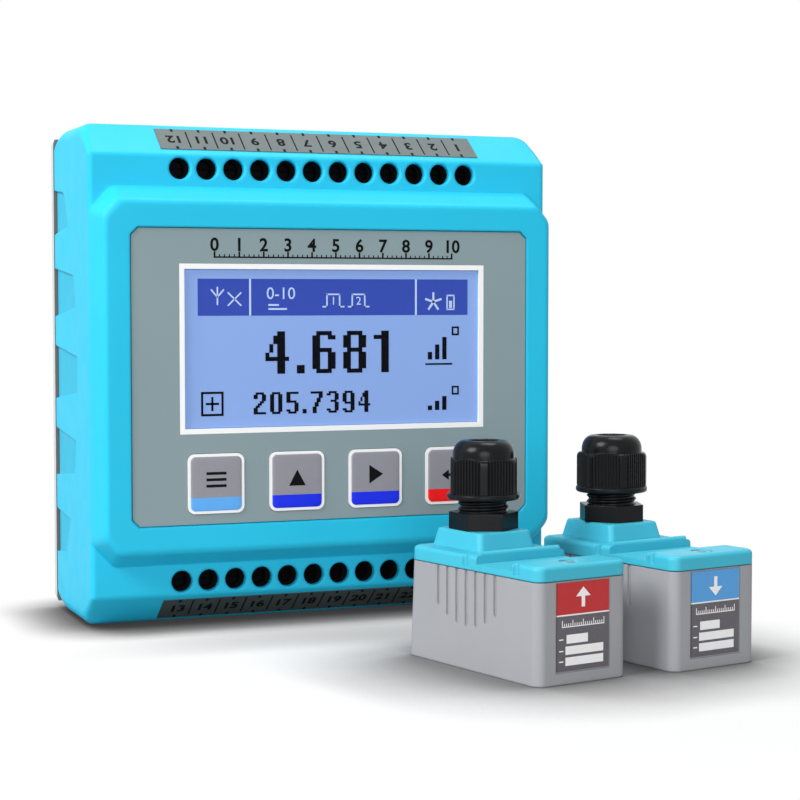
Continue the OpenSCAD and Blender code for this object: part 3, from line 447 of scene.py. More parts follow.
# straight strokes of a drawing in the plane of x and z: rows of x0, z0, x1, z1 and width
def strokeMesh(rows, y, thick):
    x0, z0, x1, z1, wide = np.asarray(rows, float).T
    flat = x0 * 0
    centre = np.column_stack([(x0 + x1) / 2, flat + y, (z0 + z1) / 2])
    along = np.column_stack([x1 - x0, flat, z1 - z0]) / 2
    unit = along / np.linalg.norm(along, axis=1)[:, None]
    across = np.column_stack([-unit[:, 2], flat, unit[:, 0]]) * wide[:, None] / 2
    return boxMesh(centre, along, [0, thick / 2, 0], across)


# places in a row, the middle of the row at zero
def evenRow(count, pitch):
    return (np.arange(count) - (count - 1) / 2) * pitch


# a flat outline (x, z) pushed back from y to y + thick
def plateMesh(outline, y, thick):
    o = np.asarray(outline, float)
    n = len(o)
    verts = np.vstack([np.column_stack([o[:, 0], np.full(n, v), o[:, 1]]) for v in (y, y + thick)])
    k = np.arange(n)
    k1 = (k + 1) % n
    area = np.sum(o[:, 0] * o[k1, 1] - o[k1, 0] * o[:, 1])
    front, back = k.tolist(), (k[::-1] + n).tolist()
    sides = np.column_stack([k, k + n, k1 + n, k1])
    if area < 0:  # outlines that run clockwise are turned round
        front, back, sides = front[::-1], back[::-1], sides[:, ::-1]
    return verts, [front, back] + sides.tolist()


def joinMeshes(parts):
    verts, faces, start = [], [], 0
    for v, f in parts:
        verts.append(np.asarray(v))
        faces += [[int(i) + start for i in face] for face in f]
        start += len(v)
    return np.vstack(verts), faces


# rings of points, each joined to the next; flat caps close the ends, or the last joins the first
def ringMesh(rings, looped=False):
    rings = np.asarray(rings, float)
    m, n = rings.shape[:2]
    i, k = np.meshgrid(np.arange(m if looped else m - 1), np.arange(n), indexing="ij")
    a, b, up = i * n + k, i * n + (k + 1) % n, ((i + 1) % m - i) * n
    faces = np.stack([a, b, b + up, a + up], -1).reshape(-1, 4).tolist()
    if not looped:
        faces += [list(range(n))[::-1], list(range((m - 1) * n, m * n))]
    return rings.reshape(-1, 3), faces


# numbers as solid shapes, from Blender's own font, lying in x and y and centred on zero
def numberMesh(text, size, thick, bold=0.0):
    curve = bpy.data.curves.new("number", "FONT")
    curve.body, curve.size, curve.extrude, curve.offset = text, size, thick / 2, bold
    curve.align_x, curve.align_y = "CENTER", "CENTER"
    curve.resolution_u = 4
    holder = linked("number", curve)
    mesh = shownMesh(holder)
    bpy.data.objects.remove(holder)
    return takenApart(mesh)


def moved(part, shift):
    return part[0] + np.array(shift), part[1]


# moves drawn points by a frame: origin + x*right + y*up + z*out
def placed(part, origin, right, up, out):
    return moved((part[0] @ np.array([right, up, out]), part[1]), origin)


def frontNumber(text, size, thick, place, bold=0.0):
    return placed(numberMesh(text, size, thick, bold), place, (1, 0, 0), (0, 0, 1), (0, -1, 0))


# a line whose corners are rounded: each corner becomes a parabola that leaves one side and
# joins the other at the distance reach from the corner
def softLine(points, reach, steps=5, closed=True):
    p = np.asarray(points, float)
    reach = np.broadcast_to(np.asarray(reach, float), p.shape[:-1])[..., None]
    back, on = np.roll(p, 1, -2) - p, np.roll(p, -1, -2) - p
    a = p + back / np.linalg.norm(back, axis=-1, keepdims=True) * reach
    b = p + on / np.linalg.norm(on, axis=-1, keepdims=True) * reach
    t = np.linspace(0, 1, steps + 1).reshape(-1, 1)
    curve = ((1 - t) ** 2 * a[..., None, :] + 2 * t * (1 - t) * p[..., None, :]
             + t ** 2 * b[..., None, :])
    if closed:
        return curve.reshape(*p.shape[:-2], -1, 2)
    inner = curve[1:-1].reshape(-1, 2)
    return np.vstack([p[:1], inner, p[-1:]])


# rectangles with quarter-circle corners, one for each row of half width, half height and radius
def cornerRings(halfA, halfB, radius, steps=7):
    halfA, halfB, radius = (np.asarray(v, float).reshape(-1, 1, 1) for v in (halfA, halfB, radius))
    turn = np.linspace(0, math.pi / 2, steps + 1) + np.arange(4)[:, None] * math.pi / 2
    signA, signB = np.array([[1], [-1], [-1], [1]]), np.array([[1], [1], [-1], [-1]])
    a = signA * (halfA - radius) + radius * np.cos(turn)
    b = signB * (halfB - radius) + radius * np.sin(turn)
    rings = np.stack(np.broadcast_arrays(a, b), -1)
    return rings.reshape(len(rings), -1, 2)


# outlines (x, y) at the heights z, from the bottom to the top
def uprightRings(outlines, heights, looped=False):
    z = np.broadcast_to(np.asarray(heights, float)[:, None], outlines.shape[:2])
    return ringMesh(np.stack([outlines[..., 0], outlines[..., 1], z], -1), looped)


# outlines (x, z) at the depths y, from the back to the front
def frontRings(outlines, depths):
    verts, faces = uprightRings(outlines, depths)
    return verts[:, [0, 2, 1]], faces


# round rods: rows of place along the axis and radius; axis 1 runs back, axis 2 runs up
def rodMesh(rows, centre, axis, sides=40):
    rows = np.asarray(rows, float)
    turn = np.linspace(0, 2 * math.pi, sides, endpoint=False)
    outline = rows[:, 1, None, None] * np.stack([np.cos(turn), np.sin(turn)], -1)
    outline = outline + np.asarray(centre, float)
    return (frontRings if axis == 1 else uprightRings)(outline, rows[:, 0])


def boxBetween(low, high):
    low, high = np.sort([low, high], 0)
    return boxMesh((low + high) / 2, *np.diag((high - low) / 2))


# a side outline (y, z) pushed from x0 to x1
def sidePlate(outline, x0, x1):
    verts, faces = plateMesh(outline, x0, x1 - x0)
    return verts[:, [1, 0, 2]], [face[::-1] for face in faces]


def bothSides(part):
    return [part, (part[0] * [-1, 1, 1], [list(face)[::-1] for face in part[1]])]


plus, less = "UNION", "DIFFERENCE"


# one solid worked on by others in turn, each joined to it or cut out of it; the working objects
# go with their meshes
def carved(base, steps):
    work = linked("work", rawMesh("work", *base))
    for operation, part in steps:
        tool = linked("work", rawMesh("work", *part))
        change = work.modifiers.new("change", "BOOLEAN")
        change.operation, change.object, change.solver = operation, tool, "EXACT"
        applyModifiers(work)
        bpy.data.meshes.remove(tool.data)
    return takenApart(work.data)


# a finished solid in place of a node: smooth over its rounded edges and flat on its large faces
def standIn(node, part, finish):
    piece = meshPiece(node + "_dressed", part, finish, nodes[node]["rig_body"], 32)
    normals = piece.modifiers.new("flat large faces", "WEIGHTED_NORMAL")
    normals.keep_sharp = True
    applyModifiers(piece)
    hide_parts(node)
    print(piece.name, "has", len(piece.data.polygons), "faces")
    return piece


# the housing's front cover
housingSizes = {
    "front": 8.2, "edge": 1.3, "ridge": 2.6, "foot": 1.0, "wall": 2.2, "back": 53.1,
    "through": 4.2, "rows": (13, 15, 17, 18.5), "cornerY": (8.2, 9.5, 14, 18, 20.5),
    "cornerR": (0.6, 1.5, 2.0, 3.3, 4.0),
    "block": (64.9, 47.15), "blockFoot": (67.08, 51.45), "blockWall": 3.6, "blockEdge": 1.4,
    "blockBack": 12.0, "footEdge": (1.2, 0.2), "faceCut": (3.7, 4.3), "footCut": (6.0, 6.6), "cutSoft": 1.6,
    "panel": (57.8, 40.1), "panelCut": 2.0, "panelDepth": 1.2, "display": (-43.0, 43.0, -14.0, 29.0),
    "keys": (8.05, 8.25, 2.15, 1.75), "stem": 2.6, "room": (3.2, 11.0),
    "hole": 2.95, "holeBevel": 0.4, "holeEnds": (11.2, 7.8), "rowZ": 56.25, "ways": 12, "pitch": 7.62,
    "slot": (45.72, 21.8, 27.8), "slotZ": (65.9, 69.4),
    "caseBoss": (62.0, 60.05, 3.5, 1.5, 19.8, 53.4, 39.4),
    "boardBoss": (50.5, 36.0, 2.75, 1.15, 2.9, 9.5, 5.1),
    "pocketPitch": 22.8, "pocketShares": (0.276, 0.3, 0.333, 0.3, 0.276), "pocketDepth": 0.7,
    "pocketTaper": 3.16, "pocketArc": (112.26, 87.66), "vent": (1.5, 64.4, 67.9),
}


# the side profile above the middle: flat face, slope, ridge, level top and the crown's arc
def coverProfile(inset, back):
    c, h = caseSizes, housingSizes
    run, rise = c["slope"]
    slope = math.hypot(run, rise)
    foot = np.array([c["blockRise"] + inset * rise / slope, c["faceZ"] - inset * run / slope])
    face = (c["blockRise"] + inset, foot[1] + (c["blockRise"] + inset - foot[0]) * rise / run)
    top = c["halfH"] - inset
    ridge = (foot[0] + (top - foot[1]) * run / rise, top)
    reach = (0, 0, 0, 0) if inset else (0, h["foot"], h["ridge"], 0)
    line = softLine([(face[0], 0), face, ridge, (c["crownY"], top)], reach, 6, False)[1:]
    arc = np.linspace(0, math.asin((back - c["crownY"]) / (c["crownR"] - inset)), 9)[1:]
    crown = np.column_stack([c["crownY"] + (c["crownR"] - inset) * np.sin(arc),
                             c["halfH"] - c["crownR"] + (c["crownR"] - inset) * np.cos(arc)])
    line = np.vstack([line, crown])
    return line[np.concatenate([[True], np.diff(line[:, 0]) > 1e-4])]


# rounded rectangles along the profile; the front edge of the sides is a quarter circle
def coverShell():
    c, h = caseSizes, housingSizes
    line = coverProfile(0, h["back"])
    y = np.unique(np.concatenate([
        line[:, 0], h["front"] + h["edge"] * (1 - np.cos(np.linspace(0, math.pi / 2, 7))),
        h["rows"], [c["stepY"] - 0.06, c["stepY"] + 0.06]]))[::-1]
    high = np.interp(y, line[:, 0], line[:, 1])
    near = np.clip(1 - (y - h["front"]) / h["edge"], 0, 1)
    wide = c["halfW"] - h["edge"] * (1 - np.sqrt(1 - near ** 2)) - c["sideStep"] * (y > c["stepY"])
    return frontRings(cornerRings(wide, high, np.interp(y, h["cornerY"], h["cornerR"])), y)


# a rectangle with its corners cut off, from the foot of its right side up and round
def octagon(halfW, halfH, cutW, cutH):
    w, v = halfW - cutW, halfH - cutH
    return np.array([(halfW, -v), (halfW, v), (w, halfH), (-w, halfH),
                     (-halfW, v), (-halfW, -v), (-w, -halfH), (w, -halfH)])


# octagons from the foot to the face, all their corners rounded
def keypadBlock():
    h = housingSizes
    side, end = (
        softLine([(h["blockBack"], h["blockFoot"][k]), (h["front"], h["blockFoot"][k]),
                  (0, h["block"][k]), (0, 0)], (0, h["footEdge"][k], h["blockEdge"], 0), 6, False)[:-1]
        for k in (0, 1))
    y = np.unique(np.concatenate([side[:, 0], end[:, 0]]))[::-1]
    wide, high = (np.interp(y, line[::-1, 0], line[::-1, 1]) for line in (side, end))
    wide[-1], high[-1] = side[-1, 1], end[-1, 1]
    cuts = [np.interp(y, [0, h["front"]], [h["faceCut"][k], h["footCut"][k]]) for k in (0, 1)]
    return frontRings(softLine(octagon(wide, high, *cuts).transpose(2, 0, 1), h["cutSoft"], 4), y)


# one pocket's outline (y, z): two leaning sides and the arc that the row of pockets ends on
def pocketOutline(middle, half):
    h = housingSizes
    centre, radius = h["pocketArc"]
    front, back = caseSizes["ridgeY"], h["back"] + 0.3
    ends = []
    for sign in (1, -1):
        y = front + 5
        for step in range(6):
            z = middle + sign * np.interp(y, [front, back], [half - h["pocketTaper"], half])
            y = centre - math.sqrt(radius ** 2 - z ** 2)
        ends.append(z)
    z = np.linspace(*ends, 17)
    arc = np.column_stack([centre - np.sqrt(radius ** 2 - z ** 2), z])
    return np.vstack([arc, [(back, middle - half), (back, middle + half)]])


def frontCover():
    c, h = caseSizes, housingSizes
    inner = coverProfile(h["wall"], h["back"] + 0.6)[::-1]
    cavity = frontRings(cornerRings(c["halfW"] - h["wall"], inner[:, 1], 1.8), inner[:, 0])
    x, z = h["block"][0] - h["blockWall"], h["block"][1] - h["blockWall"]
    near, far = h["room"]
    blockRoom = boxBetween((-x, near, -z), (x, far, z))
    bosses, bores = [], []
    for name in ("caseBoss", "boardBoss"):
        x, z, outer, bore, y0, y1, deep = h[name]
        for place in ((x, z), (-x, z), (x, -z), (-x, -z)):
            bosses.append(rodMesh([(y1, outer), (y0, outer)], place, 1, 28))
            bores.append(rodMesh([(y1 + 0.5, bore), (deep, bore)], place, 1, 20))
    w, v, cut = *h["panel"], h["panelCut"]
    panel = plateMesh(np.roll(octagon(w, v, cut, cut), -1, 0), -1, 1 + h["panelDepth"])
    x0, x1, z0, z1 = h["display"]
    openings = [boxBetween((x0, -1, z0), (x1, h["through"], z1))]
    keyW, keyH, keyR, keyDeep = h["keys"]
    for x in keySizes["xs"]:
        outlines = cornerRings([keyW] * 2, keyH, keyR, 6) + [x, keySizes["z"]]
        openings.append(frontRings(outlines, [keyDeep, 0.7]))
        bores.append(rodMesh([(h["through"], h["stem"]), (0.4, h["stem"])], (x, keySizes["z"]), 1, 28))
    reach, y0, y1 = h["slot"]
    hole, mouth = h["hole"], h["hole"] + h["holeBevel"]
    deep, out = h["holeEnds"]
    for sign in (1, -1):
        z0, z1 = (sign * v for v in h["slotZ"])
        openings.append(boxBetween((-reach, y0, z0), (reach, y1, z1)))
        for x in evenRow(h["ways"], h["pitch"]):
            bores.append(rodMesh([(deep, hole), (h["front"] + h["holeBevel"], hole),
                                  (h["front"], mouth), (out, mouth)], (x, sign * h["rowZ"]), 1))
    for middle, share in zip(evenRow(5, h["pocketPitch"]), h["pocketShares"]):
        half = h["pocketPitch"] * share
        outline = pocketOutline(middle, half)
        openings += bothSides(sidePlate(outline, c["halfW"] - h["pocketDepth"], c["halfW"] + 0.6))
        high, x0, x1 = h["vent"]
        bores += bothSides(boxBetween((x0, h["back"] - high, middle - half),
                                      (x1, h["back"] + 0.5, middle + half)))
    solid = carved(coverShell(), [
        (plus, keypadBlock()), (less, cavity), (less, blockRoom), (plus, joinMeshes(bosses)),
        (less, panel), (less, joinMeshes(openings)), (less, joinMeshes(bores))])
    cover = standIn("front_cover", onCase(solid), "casePlastic")
    # the pocket floors take the darker copy of the case plastic as painted shade
    cover.data.materials.append(finishes["pocketShadedPlastic"])
    floorX = (c["halfW"] - h["pocketDepth"]) * mm
    for face in cover.data.polygons:
        if abs(face.normal.x) > 0.95 and abs(abs(face.center.x) - floorX) < 0.1 * mm:
            face.material_index = 1


# the display's signs
displaySizes = {
    "inkY": 1.32, "inkThick": 0.05, "bar": (-39.1, 39.9, 16.4, 26.4), "dividers": (-24.4, 24.1),
    "line": 0.42, "risingX": (28.4, 30.6, 32.8),
    "big": {"text": "4.681", "x": -20.1, "z": 0.5, "dotX": 1.127, "dotZ": 1.16},
    "small": {"text": "205.7394", "x": -23.5, "z": -10.5, "dotX": 0.585, "dotZ": 0.6},
}
digitDots = {
    "0": ".####. " + "##..## " * 8 + ".####.",
    "1": "..##.. ####.. " + "..##.. " * 8,
    "2": ".####. ##..## ##..## ....## ...##. ..##.. .##... ##.... ##.... ######",
    "3": ".####. ##..## ....## ....## ..###. ....## ....## ....## ##..## .####.",
    "4": "...##. ..###. ..###. .#.##. .#.##. #..##. ###### ...##. ...##. ...##.",
    "5": "###### ##.... ##.... ##.... #####. ....## ....## ....## ##..## .####.",
    "6": ".####. ##..## ##.... ##.... #####. ##..## ##..## ##..## ##..## .####.",
    "7": "###### ....## ....## ...##. ...##. ..##.. ..##.. .##... .##... .##...",
    "8": ".####. ##..## ##..## ##..## .####. ##..## ##..## ##..## ##..## .####.",
    "9": ".####. ##..## ##..## ##..## ##..## .##### ....## ....## ##..## .####.",
    ".": ".. .. .. .. .. .. .. .. ## ##",
}


# square dots of the digits: every lit dot of a bitmap becomes a thin box, two dots between digits
def dotNumber(text, x, z, dotX, dotZ):
    centres = []
    for sign in text:
        grid = np.array([list(row) for row in digitDots[sign].split()]) == "#"
        row, column = np.nonzero(grid)
        centres.append(np.column_stack([
            x + (column + 0.5) * dotX, np.full(len(row), displaySizes["inkY"]),
            z + (grid.shape[0] - row - 0.5) * dotZ]))
        x += (grid.shape[1] + 2) * dotX
    centres = np.vstack(centres)
    deep = displaySizes["inkThick"] / 2
    return boxMesh(centres, [dotX / 2, 0, 0], [0, deep, 0], [0, 0, dotZ / 2])


def rectangle(x0, x1, z0, z1, y, thick):
    return plateMesh([(x0, z0), (x1, z0), (x1, z1), (x0, z1)], y, thick)


def frameStrokes(x0, x1, z0, z1, w):
    return [(x0 - w / 2, z0, x1 + w / 2, z0, w), (x0 - w / 2, z1, x1 + w / 2, z1, w),
            (x0, z0, x0, z1, w), (x1, z0, x1, z1, w)]


def displayPieces():
    s = displaySizes
    y, t, w = s["inkY"], s["inkThick"], s["line"]
    z0, z1 = s["bar"][2:]
    pale = [(x, z0, x, z1, 0.55) for x in s["dividers"]]
    # aerial with two arms, and a cross
    pale += [(-33.6, 19.3, -33.6, 24.2, w), (-33.6, 21.4, -35.4, 23.5, w), (-33.6, 21.4, -31.8, 23.5, w),
             (-30.7, 19.1, -26.9, 22.7, w), (-30.7, 22.7, -26.9, 19.1, w)]
    # two pulses, each a step up and a step down
    for x in (-3.6, 3.8):
        pale += [(x, 18.8, x + 1.5, 18.8, w), (x + 1.3, 18.6, x + 1.3, 22.3, w),
                 (x + 1.1, 22.2, x + 5.2, 22.2, w), (x + 5.0, 18.6, x + 5.0, 22.3, w),
                 (x + 4.8, 18.8, x + 6.4, 18.8, w)]
    # five-armed star and a framed bar beside it
    pale += [(29.4, 20.1, 29.4 + 2.6 * math.sin(a), 20.1 + 2.7 * math.cos(a), 0.6)
             for a in np.radians([0, 72, 144, 216, 288])]
    pale += frameStrokes(33.6, 35.7, 18.0, 21.9, w) + [(34.65, 18.4, 34.65, 20.4, 0.9)]
    # a short bar below the loop numbers
    pale += [(-19.2, 18.2, -13.9, 18.2, 0.5), (-19.2, 19.3, -16.2, 19.3, 0.5)]
    signs = [strokeMesh(pale, y - t, t)]
    for text, size, x, z in (("0-10", 4.6, -15.6, 22.3), ("1", 3.2, -0.4, 20.3), ("2", 3.2, 7.0, 20.3)):
        signs.append(frontNumber(text, size, t, (x, y - t, z)))
    # place of the units: bars that rise to the right, with a small square beside them
    dark = [(x, low, x, low + step * (i + 1), 1.3)
            for low, step in ((3.9, 2.1), (-10.4, 1.3)) for i, x in enumerate(s["risingX"])]
    dark += [(27.0, 2.6, 35.2, 2.6, 0.5)]
    dark += frameStrokes(35.3, 37.0, 10.9, 12.9, 0.5) + frameStrokes(35.3, 37.0, -5.9, -3.9, 0.5)
    # place of the sum sign: a square with a plus in it
    dark += frameStrokes(-38.0, -32.3, -10.4, -4.4, 0.6)
    dark += [(-37.0, -7.4, -33.3, -7.4, 0.6), (-35.15, -9.3, -35.15, -5.5, 0.6)]
    for name, part, finish in (
            ("displayDigits", joinMeshes([dotNumber(**s["big"]), dotNumber(**s["small"])]), "lcdInk"),
            ("statusBar", rectangle(*s["bar"], y, t), "barInk"),
            ("statusSigns", joinMeshes(signs), "paleInk"),
            ("displaySigns", strokeMesh(dark, y, t), "lcdInk")):
        casePiece(name, part, finish, "meter")


displayPieces()

scaleSizes = {"x": 34.6, "steps": 10, "tickZ": 32.2, "long": 1.5, "short": 0.8, "numberZ": 35.4,
              "numberSize": 4.9, "bold": 0.12, "y": 0.385, "thick": 0.03}


# plain scale over the display: ticks at equal steps and the numbers 0 to 10 over the long ones
def panelScale():
    s = scaleSizes
    reach, y, t = s["x"], s["y"], s["thick"]
    rows = [(-reach - 0.25, s["tickZ"], reach + 0.25, s["tickZ"], 0.4)]
    parts = []
    for i, x in enumerate(np.linspace(-reach, reach, s["steps"] * 5 + 1)):
        tall, wide = (s["short"], 0.3) if i % 5 else (s["long"], 0.5)
        rows.append((x, s["tickZ"], x, s["tickZ"] + tall, wide))
        if i % 5 == 0:
            parts.append(frontNumber(str(i // 5), s["numberSize"], t, (x, y, s["numberZ"]), s["bold"]))
    casePiece("panelScale", joinMeshes([strokeMesh(rows, y, t)] + parts), "blackInk", "meter")


panelScale()

# the four keys
keySizes = {
    "xs": (-34.5, -11.5, 11.5, 34.5), "z": -28.9, "halfW": 7.15, "halfH": 7.35, "corner": 1.4,
    "faceY": 0.1, "bandTop": -3.75,
    "profile": ((0, 0), (0.04, -0.1), (0.16, -0.17), (0.45, -0.2), (1.6, -0.215), (3.5, -0.22)),
}
keyBands = {"menu": colour(93, 169, 238), "up": colour(10, 40, 228),
            "next": colour(10, 40, 228), "enter": colour(250, 8, 10)}


def keySigns(name, y, t):
    if name == "up":
        return plateMesh([(-2.4, -1.3), (2.4, -1.3), (0, 3.1)], y, t)
    if name == "next":
        return plateMesh([(-1.9, -1.5), (2.2, 1.1), (-1.9, 3.7)], y, t)
    if name == "menu":
        return strokeMesh([(-2.8, z, 2.8, z, 0.75) for z in (-0.6, 1.1, 2.8)], y, t)
    arrow = plateMesh([(-3.0, 0.2), (-0.9, -1.3), (-0.9, 1.7)], y, t)
    hook = strokeMesh([(-1.2, 0.2, 2.6, 0.2, 0.7), (2.3, -0.1, 2.3, 2.8, 0.7)], y, t)
    return joinMeshes([arrow, hook])


def keyPieces():
    s = keySizes
    inset, rise = np.array(s["profile"]).T
    corners = np.maximum(s["corner"] - inset * 0.3, 0.5)
    outlines = cornerRings(s["halfW"] - inset, s["halfH"] - inset, corners, 8)
    band = (s["z"] + s["bandTop"] + caseSizes["halfH"]) * mm
    for x, (name, tone) in zip(s["xs"], keyBands.items()):
        body, finish = name + "_key", name + "KeyFace"
        addFinish(finish, keyFace, colour(141, 141, 149), tone, band)
        face = frontRings(outlines + [x, s["z"]], s["faceY"] + rise)
        casePiece(name + "_key_face", face, finish, body, 40)
        sign = moved(keySigns(name, s["faceY"] - 0.235, 0.03), (x, 0, s["z"]))
        casePiece(name + "_key_sign", sign, "blackInk", body)


keyPieces()
print("display and keys made")
frontCover()

# the print on the terminal strips
stripSizes = {"height": 9.8, "centreY": 14.0, "centreZ": 64.35, "thick": 0.25, "ink": 0.02,
              "tick": 1.3, "numberSize": 4.7, "bold": 0.15}


# each strip is drawn in its own plane: right along the row, up towards the reader's top
def stripPrint(side):
    s, ways, pitch = stripSizes, housingSizes["ways"], housingSizes["pitch"]
    run, rise = np.array(caseSizes["slope"]) / math.hypot(*caseSizes["slope"])
    out = np.array([0, -rise, run * side])
    centre = np.array([0, s["centreY"], s["centreZ"] * side]) + out * (s["thick"] + s["ink"] / 2)
    x = evenRow(ways, pitch)
    h = s["height"] / 2
    rows = [(v, z, v, z + s["tick"], 0.75) for z in (-h, h - s["tick"]) for v in x]
    rows += [(v + pitch / 2, -h + 1.2, v + pitch / 2, h - 0.6, 0.4) for v in x[:-1]]
    ticks = strokeMesh(rows, 0, s["ink"])
    parts = [(ticks[0][:, [0, 2, 1]] * [1, 1, -1], ticks[1])]
    for i, v in enumerate(x):
        number = i + 1 if side > 0 else i + 1 + ways
        parts.append(moved(numberMesh(str(number), s["numberSize"], s["ink"], s["bold"]), (v, 0, 0)))
    part = placed(joinMeshes(parts), centre, (-side, 0, 0), (0, -run, -rise * side), out)
    name = "topStripPrint" if side > 0 else "bottomStripPrint"
    casePiece(name, part, "blackInk", "meter")


stripPrint(1)
stripPrint(-1)

# the transducers' bodies, covers and dome nuts, drawn about the middle of the footprint
bodySizes = {
    "half": (13.55, 26.0), "high": 24.3, "flare": 1.5, "radius": 2.6, "foot": 0.45, "wall": 2.2,
    "floor": 2.4, "screwY": -21.0, "pillar": 3.2, "bore": 1.5, "boreLow": 15.9,
    "grooveShares": (0.71, 0.87, 0.97, 1, 0.97, 0.87, 0.71), "grooveLength": 13.3, "groovePitch": 3.88,
    "grooveMid": 2.1, "grooveHalf": 0.575, "grooveDepth": 0.5, "gasket": (0.6, 1.6, 23.5),
    "label": (8.2, 0.35, 2.8), "wedge": (9.1, -14.7, 21.5, 9.5, -1.6, 4.1, 14.0),
}


# rounded rectangles from the foot to the rim; the far end leans out by flare at the foot
def transducerBody():
    b = bodySizes
    z = np.array([0, 0.05, 0.14, 0.28, b["foot"], 6, 12, 18, b["high"]])
    inset = b["foot"] * (1 - np.sqrt(1 - np.clip(1 - z / b["foot"], 0, 1) ** 2))
    lean = b["flare"] * (1 - z / b["high"])
    halfX, halfY = b["half"]
    outlines = cornerRings(halfX - inset, halfY + lean / 2 - inset, b["radius"] - inset * 0.5, 9)
    outlines = outlines + np.stack([lean * 0, lean / 2], -1)[:, None, :]
    rim = b["high"] + 0.5
    room = cornerRings([halfX - b["wall"]] * 2, halfY - b["wall"], 0.5)
    grooves = []
    foot = np.linspace(0, math.pi, 9)
    r = b["grooveHalf"]
    for y, share in zip(evenRow(7, b["groovePitch"]) + b["grooveMid"], b["grooveShares"]):
        low = b["high"] - share * b["grooveLength"]
        outline = [(y - r, rim), *np.column_stack([y - r * np.cos(foot), low - r * np.sin(foot)]),
                   (y + r, rim)]
        grooves += bothSides(sidePlate(outline, halfX - b["grooveDepth"], halfX + 0.4))
    outer, inner, low = b["gasket"]
    inset = np.array([outer, outer, inner, inner])
    gasket = uprightRings(
        cornerRings(halfX - inset, halfY - inset, b["radius"] - inset), [low, rim, rim, low], True)
    wide, deep, low = b["label"]
    w, y0, y1, y2, y3, foot, top = b["wedge"]
    wedge = sidePlate([(y0, -0.3), (y1, -0.3), (y1, foot), (y2, foot), (y3, top), (y0, top)], -w, w)
    label = boxBetween((-wide, -halfY - 0.4, low), (wide, deep - halfY, rim))
    place = (0, b["screwY"])
    pillar = rodMesh([(b["floor"] - 0.3, b["pillar"]), (b["high"] + 0.2, b["pillar"])], place, 2, 28)
    bore = rodMesh([(b["boreLow"], b["bore"]), (rim + 0.4, b["bore"])], place, 2, 20)
    return carved(uprightRings(outlines, z), [
        (less, uprightRings(room, [b["floor"], rim])), (plus, pillar), (less, wedge),
        (less, joinMeshes(grooves)), (less, label), (less, gasket), (less, bore)])


lidSizes = {
    "low": 24.5, "high": 28.1, "edge": 1.1, "channel": (14.2, -16.0, -2.0, 26.2), "above": 29, "under": 24,
    "notch": (1.0, -17.7, 2.6, 25.4), "bead": (12.15, -1.1, 0.9, 26.0),
    "pedestalFoot": (8.7, 10.3), "pedestalTop": (7.9, 9.1), "pedestalHigh": 32.5, "pedestalR": 1.4,
    "pedestalEdge": 0.5, "hole": 6.05, "head": 2.75, "headLow": 26.9,
}


# a lid with a rounded rim, a band channel with a bead along it, and the gland's pedestal
def transducerLid():
    b, l = bodySizes, lidSizes
    turn = np.linspace(0, math.pi / 2, 7)
    z = np.concatenate([[l["low"], 25.6], l["high"] - l["edge"] * (1 - np.sin(turn))])
    inset = np.concatenate([[0, 0], l["edge"] * (1 - np.cos(turn))])
    halfX, halfY = b["half"]
    outlines = cornerRings(halfX - inset, halfY - inset, b["radius"] - inset * 0.5, 9)
    lid = uprightRings(outlines, z)
    reach, near, far, low = l["channel"]
    channel = boxBetween((-reach, near, low), (reach, far, l["above"]))
    radius, nearY, farY, low = l["notch"]
    notches = [rodMesh([(low, radius), (l["above"], radius)], (x, y), 2, 24)
               for x in (halfX, -halfX) for y in (nearY, farY)]
    half, y, r, foot = l["bead"]
    arc = np.linspace(0, math.pi, 13)
    outline = [(y - r, foot), (y + r, foot),
               *np.column_stack([y + r * np.cos(arc), l["high"] + r * np.sin(arc)])]
    bead = sidePlate(outline[::-1], -half, half)
    edge = l["pedestalEdge"]
    z = np.concatenate([[l["high"] - 0.4, l["high"]], l["pedestalHigh"] - edge * (1 - np.sin(turn))])
    inset = np.concatenate([[0, 0], edge * (1 - np.cos(turn))])
    share = np.clip((z - l["high"]) / (l["pedestalHigh"] - l["high"]), 0, 1)
    halves = [foot + (top - foot) * share - inset for foot, top in zip(l["pedestalFoot"], l["pedestalTop"])]
    centre = (0, transducerSizes["glandY"])
    pedestal = uprightRings(cornerRings(*halves, l["pedestalR"] - inset * 0.4) + centre, z)
    gland = rodMesh([(l["under"], l["hole"]), (l["pedestalHigh"] + 0.5, l["hole"])], centre, 2)
    screw = rodMesh([(l["under"], b["bore"]), (l["headLow"], b["bore"]), (l["headLow"], l["head"]),
                     (l["above"], l["head"])], (0, b["screwY"]), 2, 32)
    return carved(lid, [(less, channel), (less, joinMeshes(notches)), (plus, bead),
                        (plus, pedestal), (less, joinMeshes([gland, screw]))])


nutSizes = {
    "low": 39.9, "flange": ((0, 8.6), (0.1, 8.92), (0.45, 9.2), (1.15, 9.2), (1.5, 8.95), (1.6, 8.7)),
    "hexTop": 10.3, "flat": 8.25, "round": 9.0, "bevel": 1.2, "bevelR": 8.0,
    "dome": (7.75, 4.8, 11.1, 14.7), "mouth": 3.8, "chamber": (5.7, 12.7), "thread": (6.45, 6.75),
    "ribs": 9, "ribPitch": 0.84, "ribHalf": 0.225, "ribDeep": 0.35, "slant": 0.05,
    "turns": {"upstream": 24, "downstream": 40},
    "hexRows": (1.6, 2.4, 4, 6, 8), "corners": (23.6, 25.5, 28, 30),
}


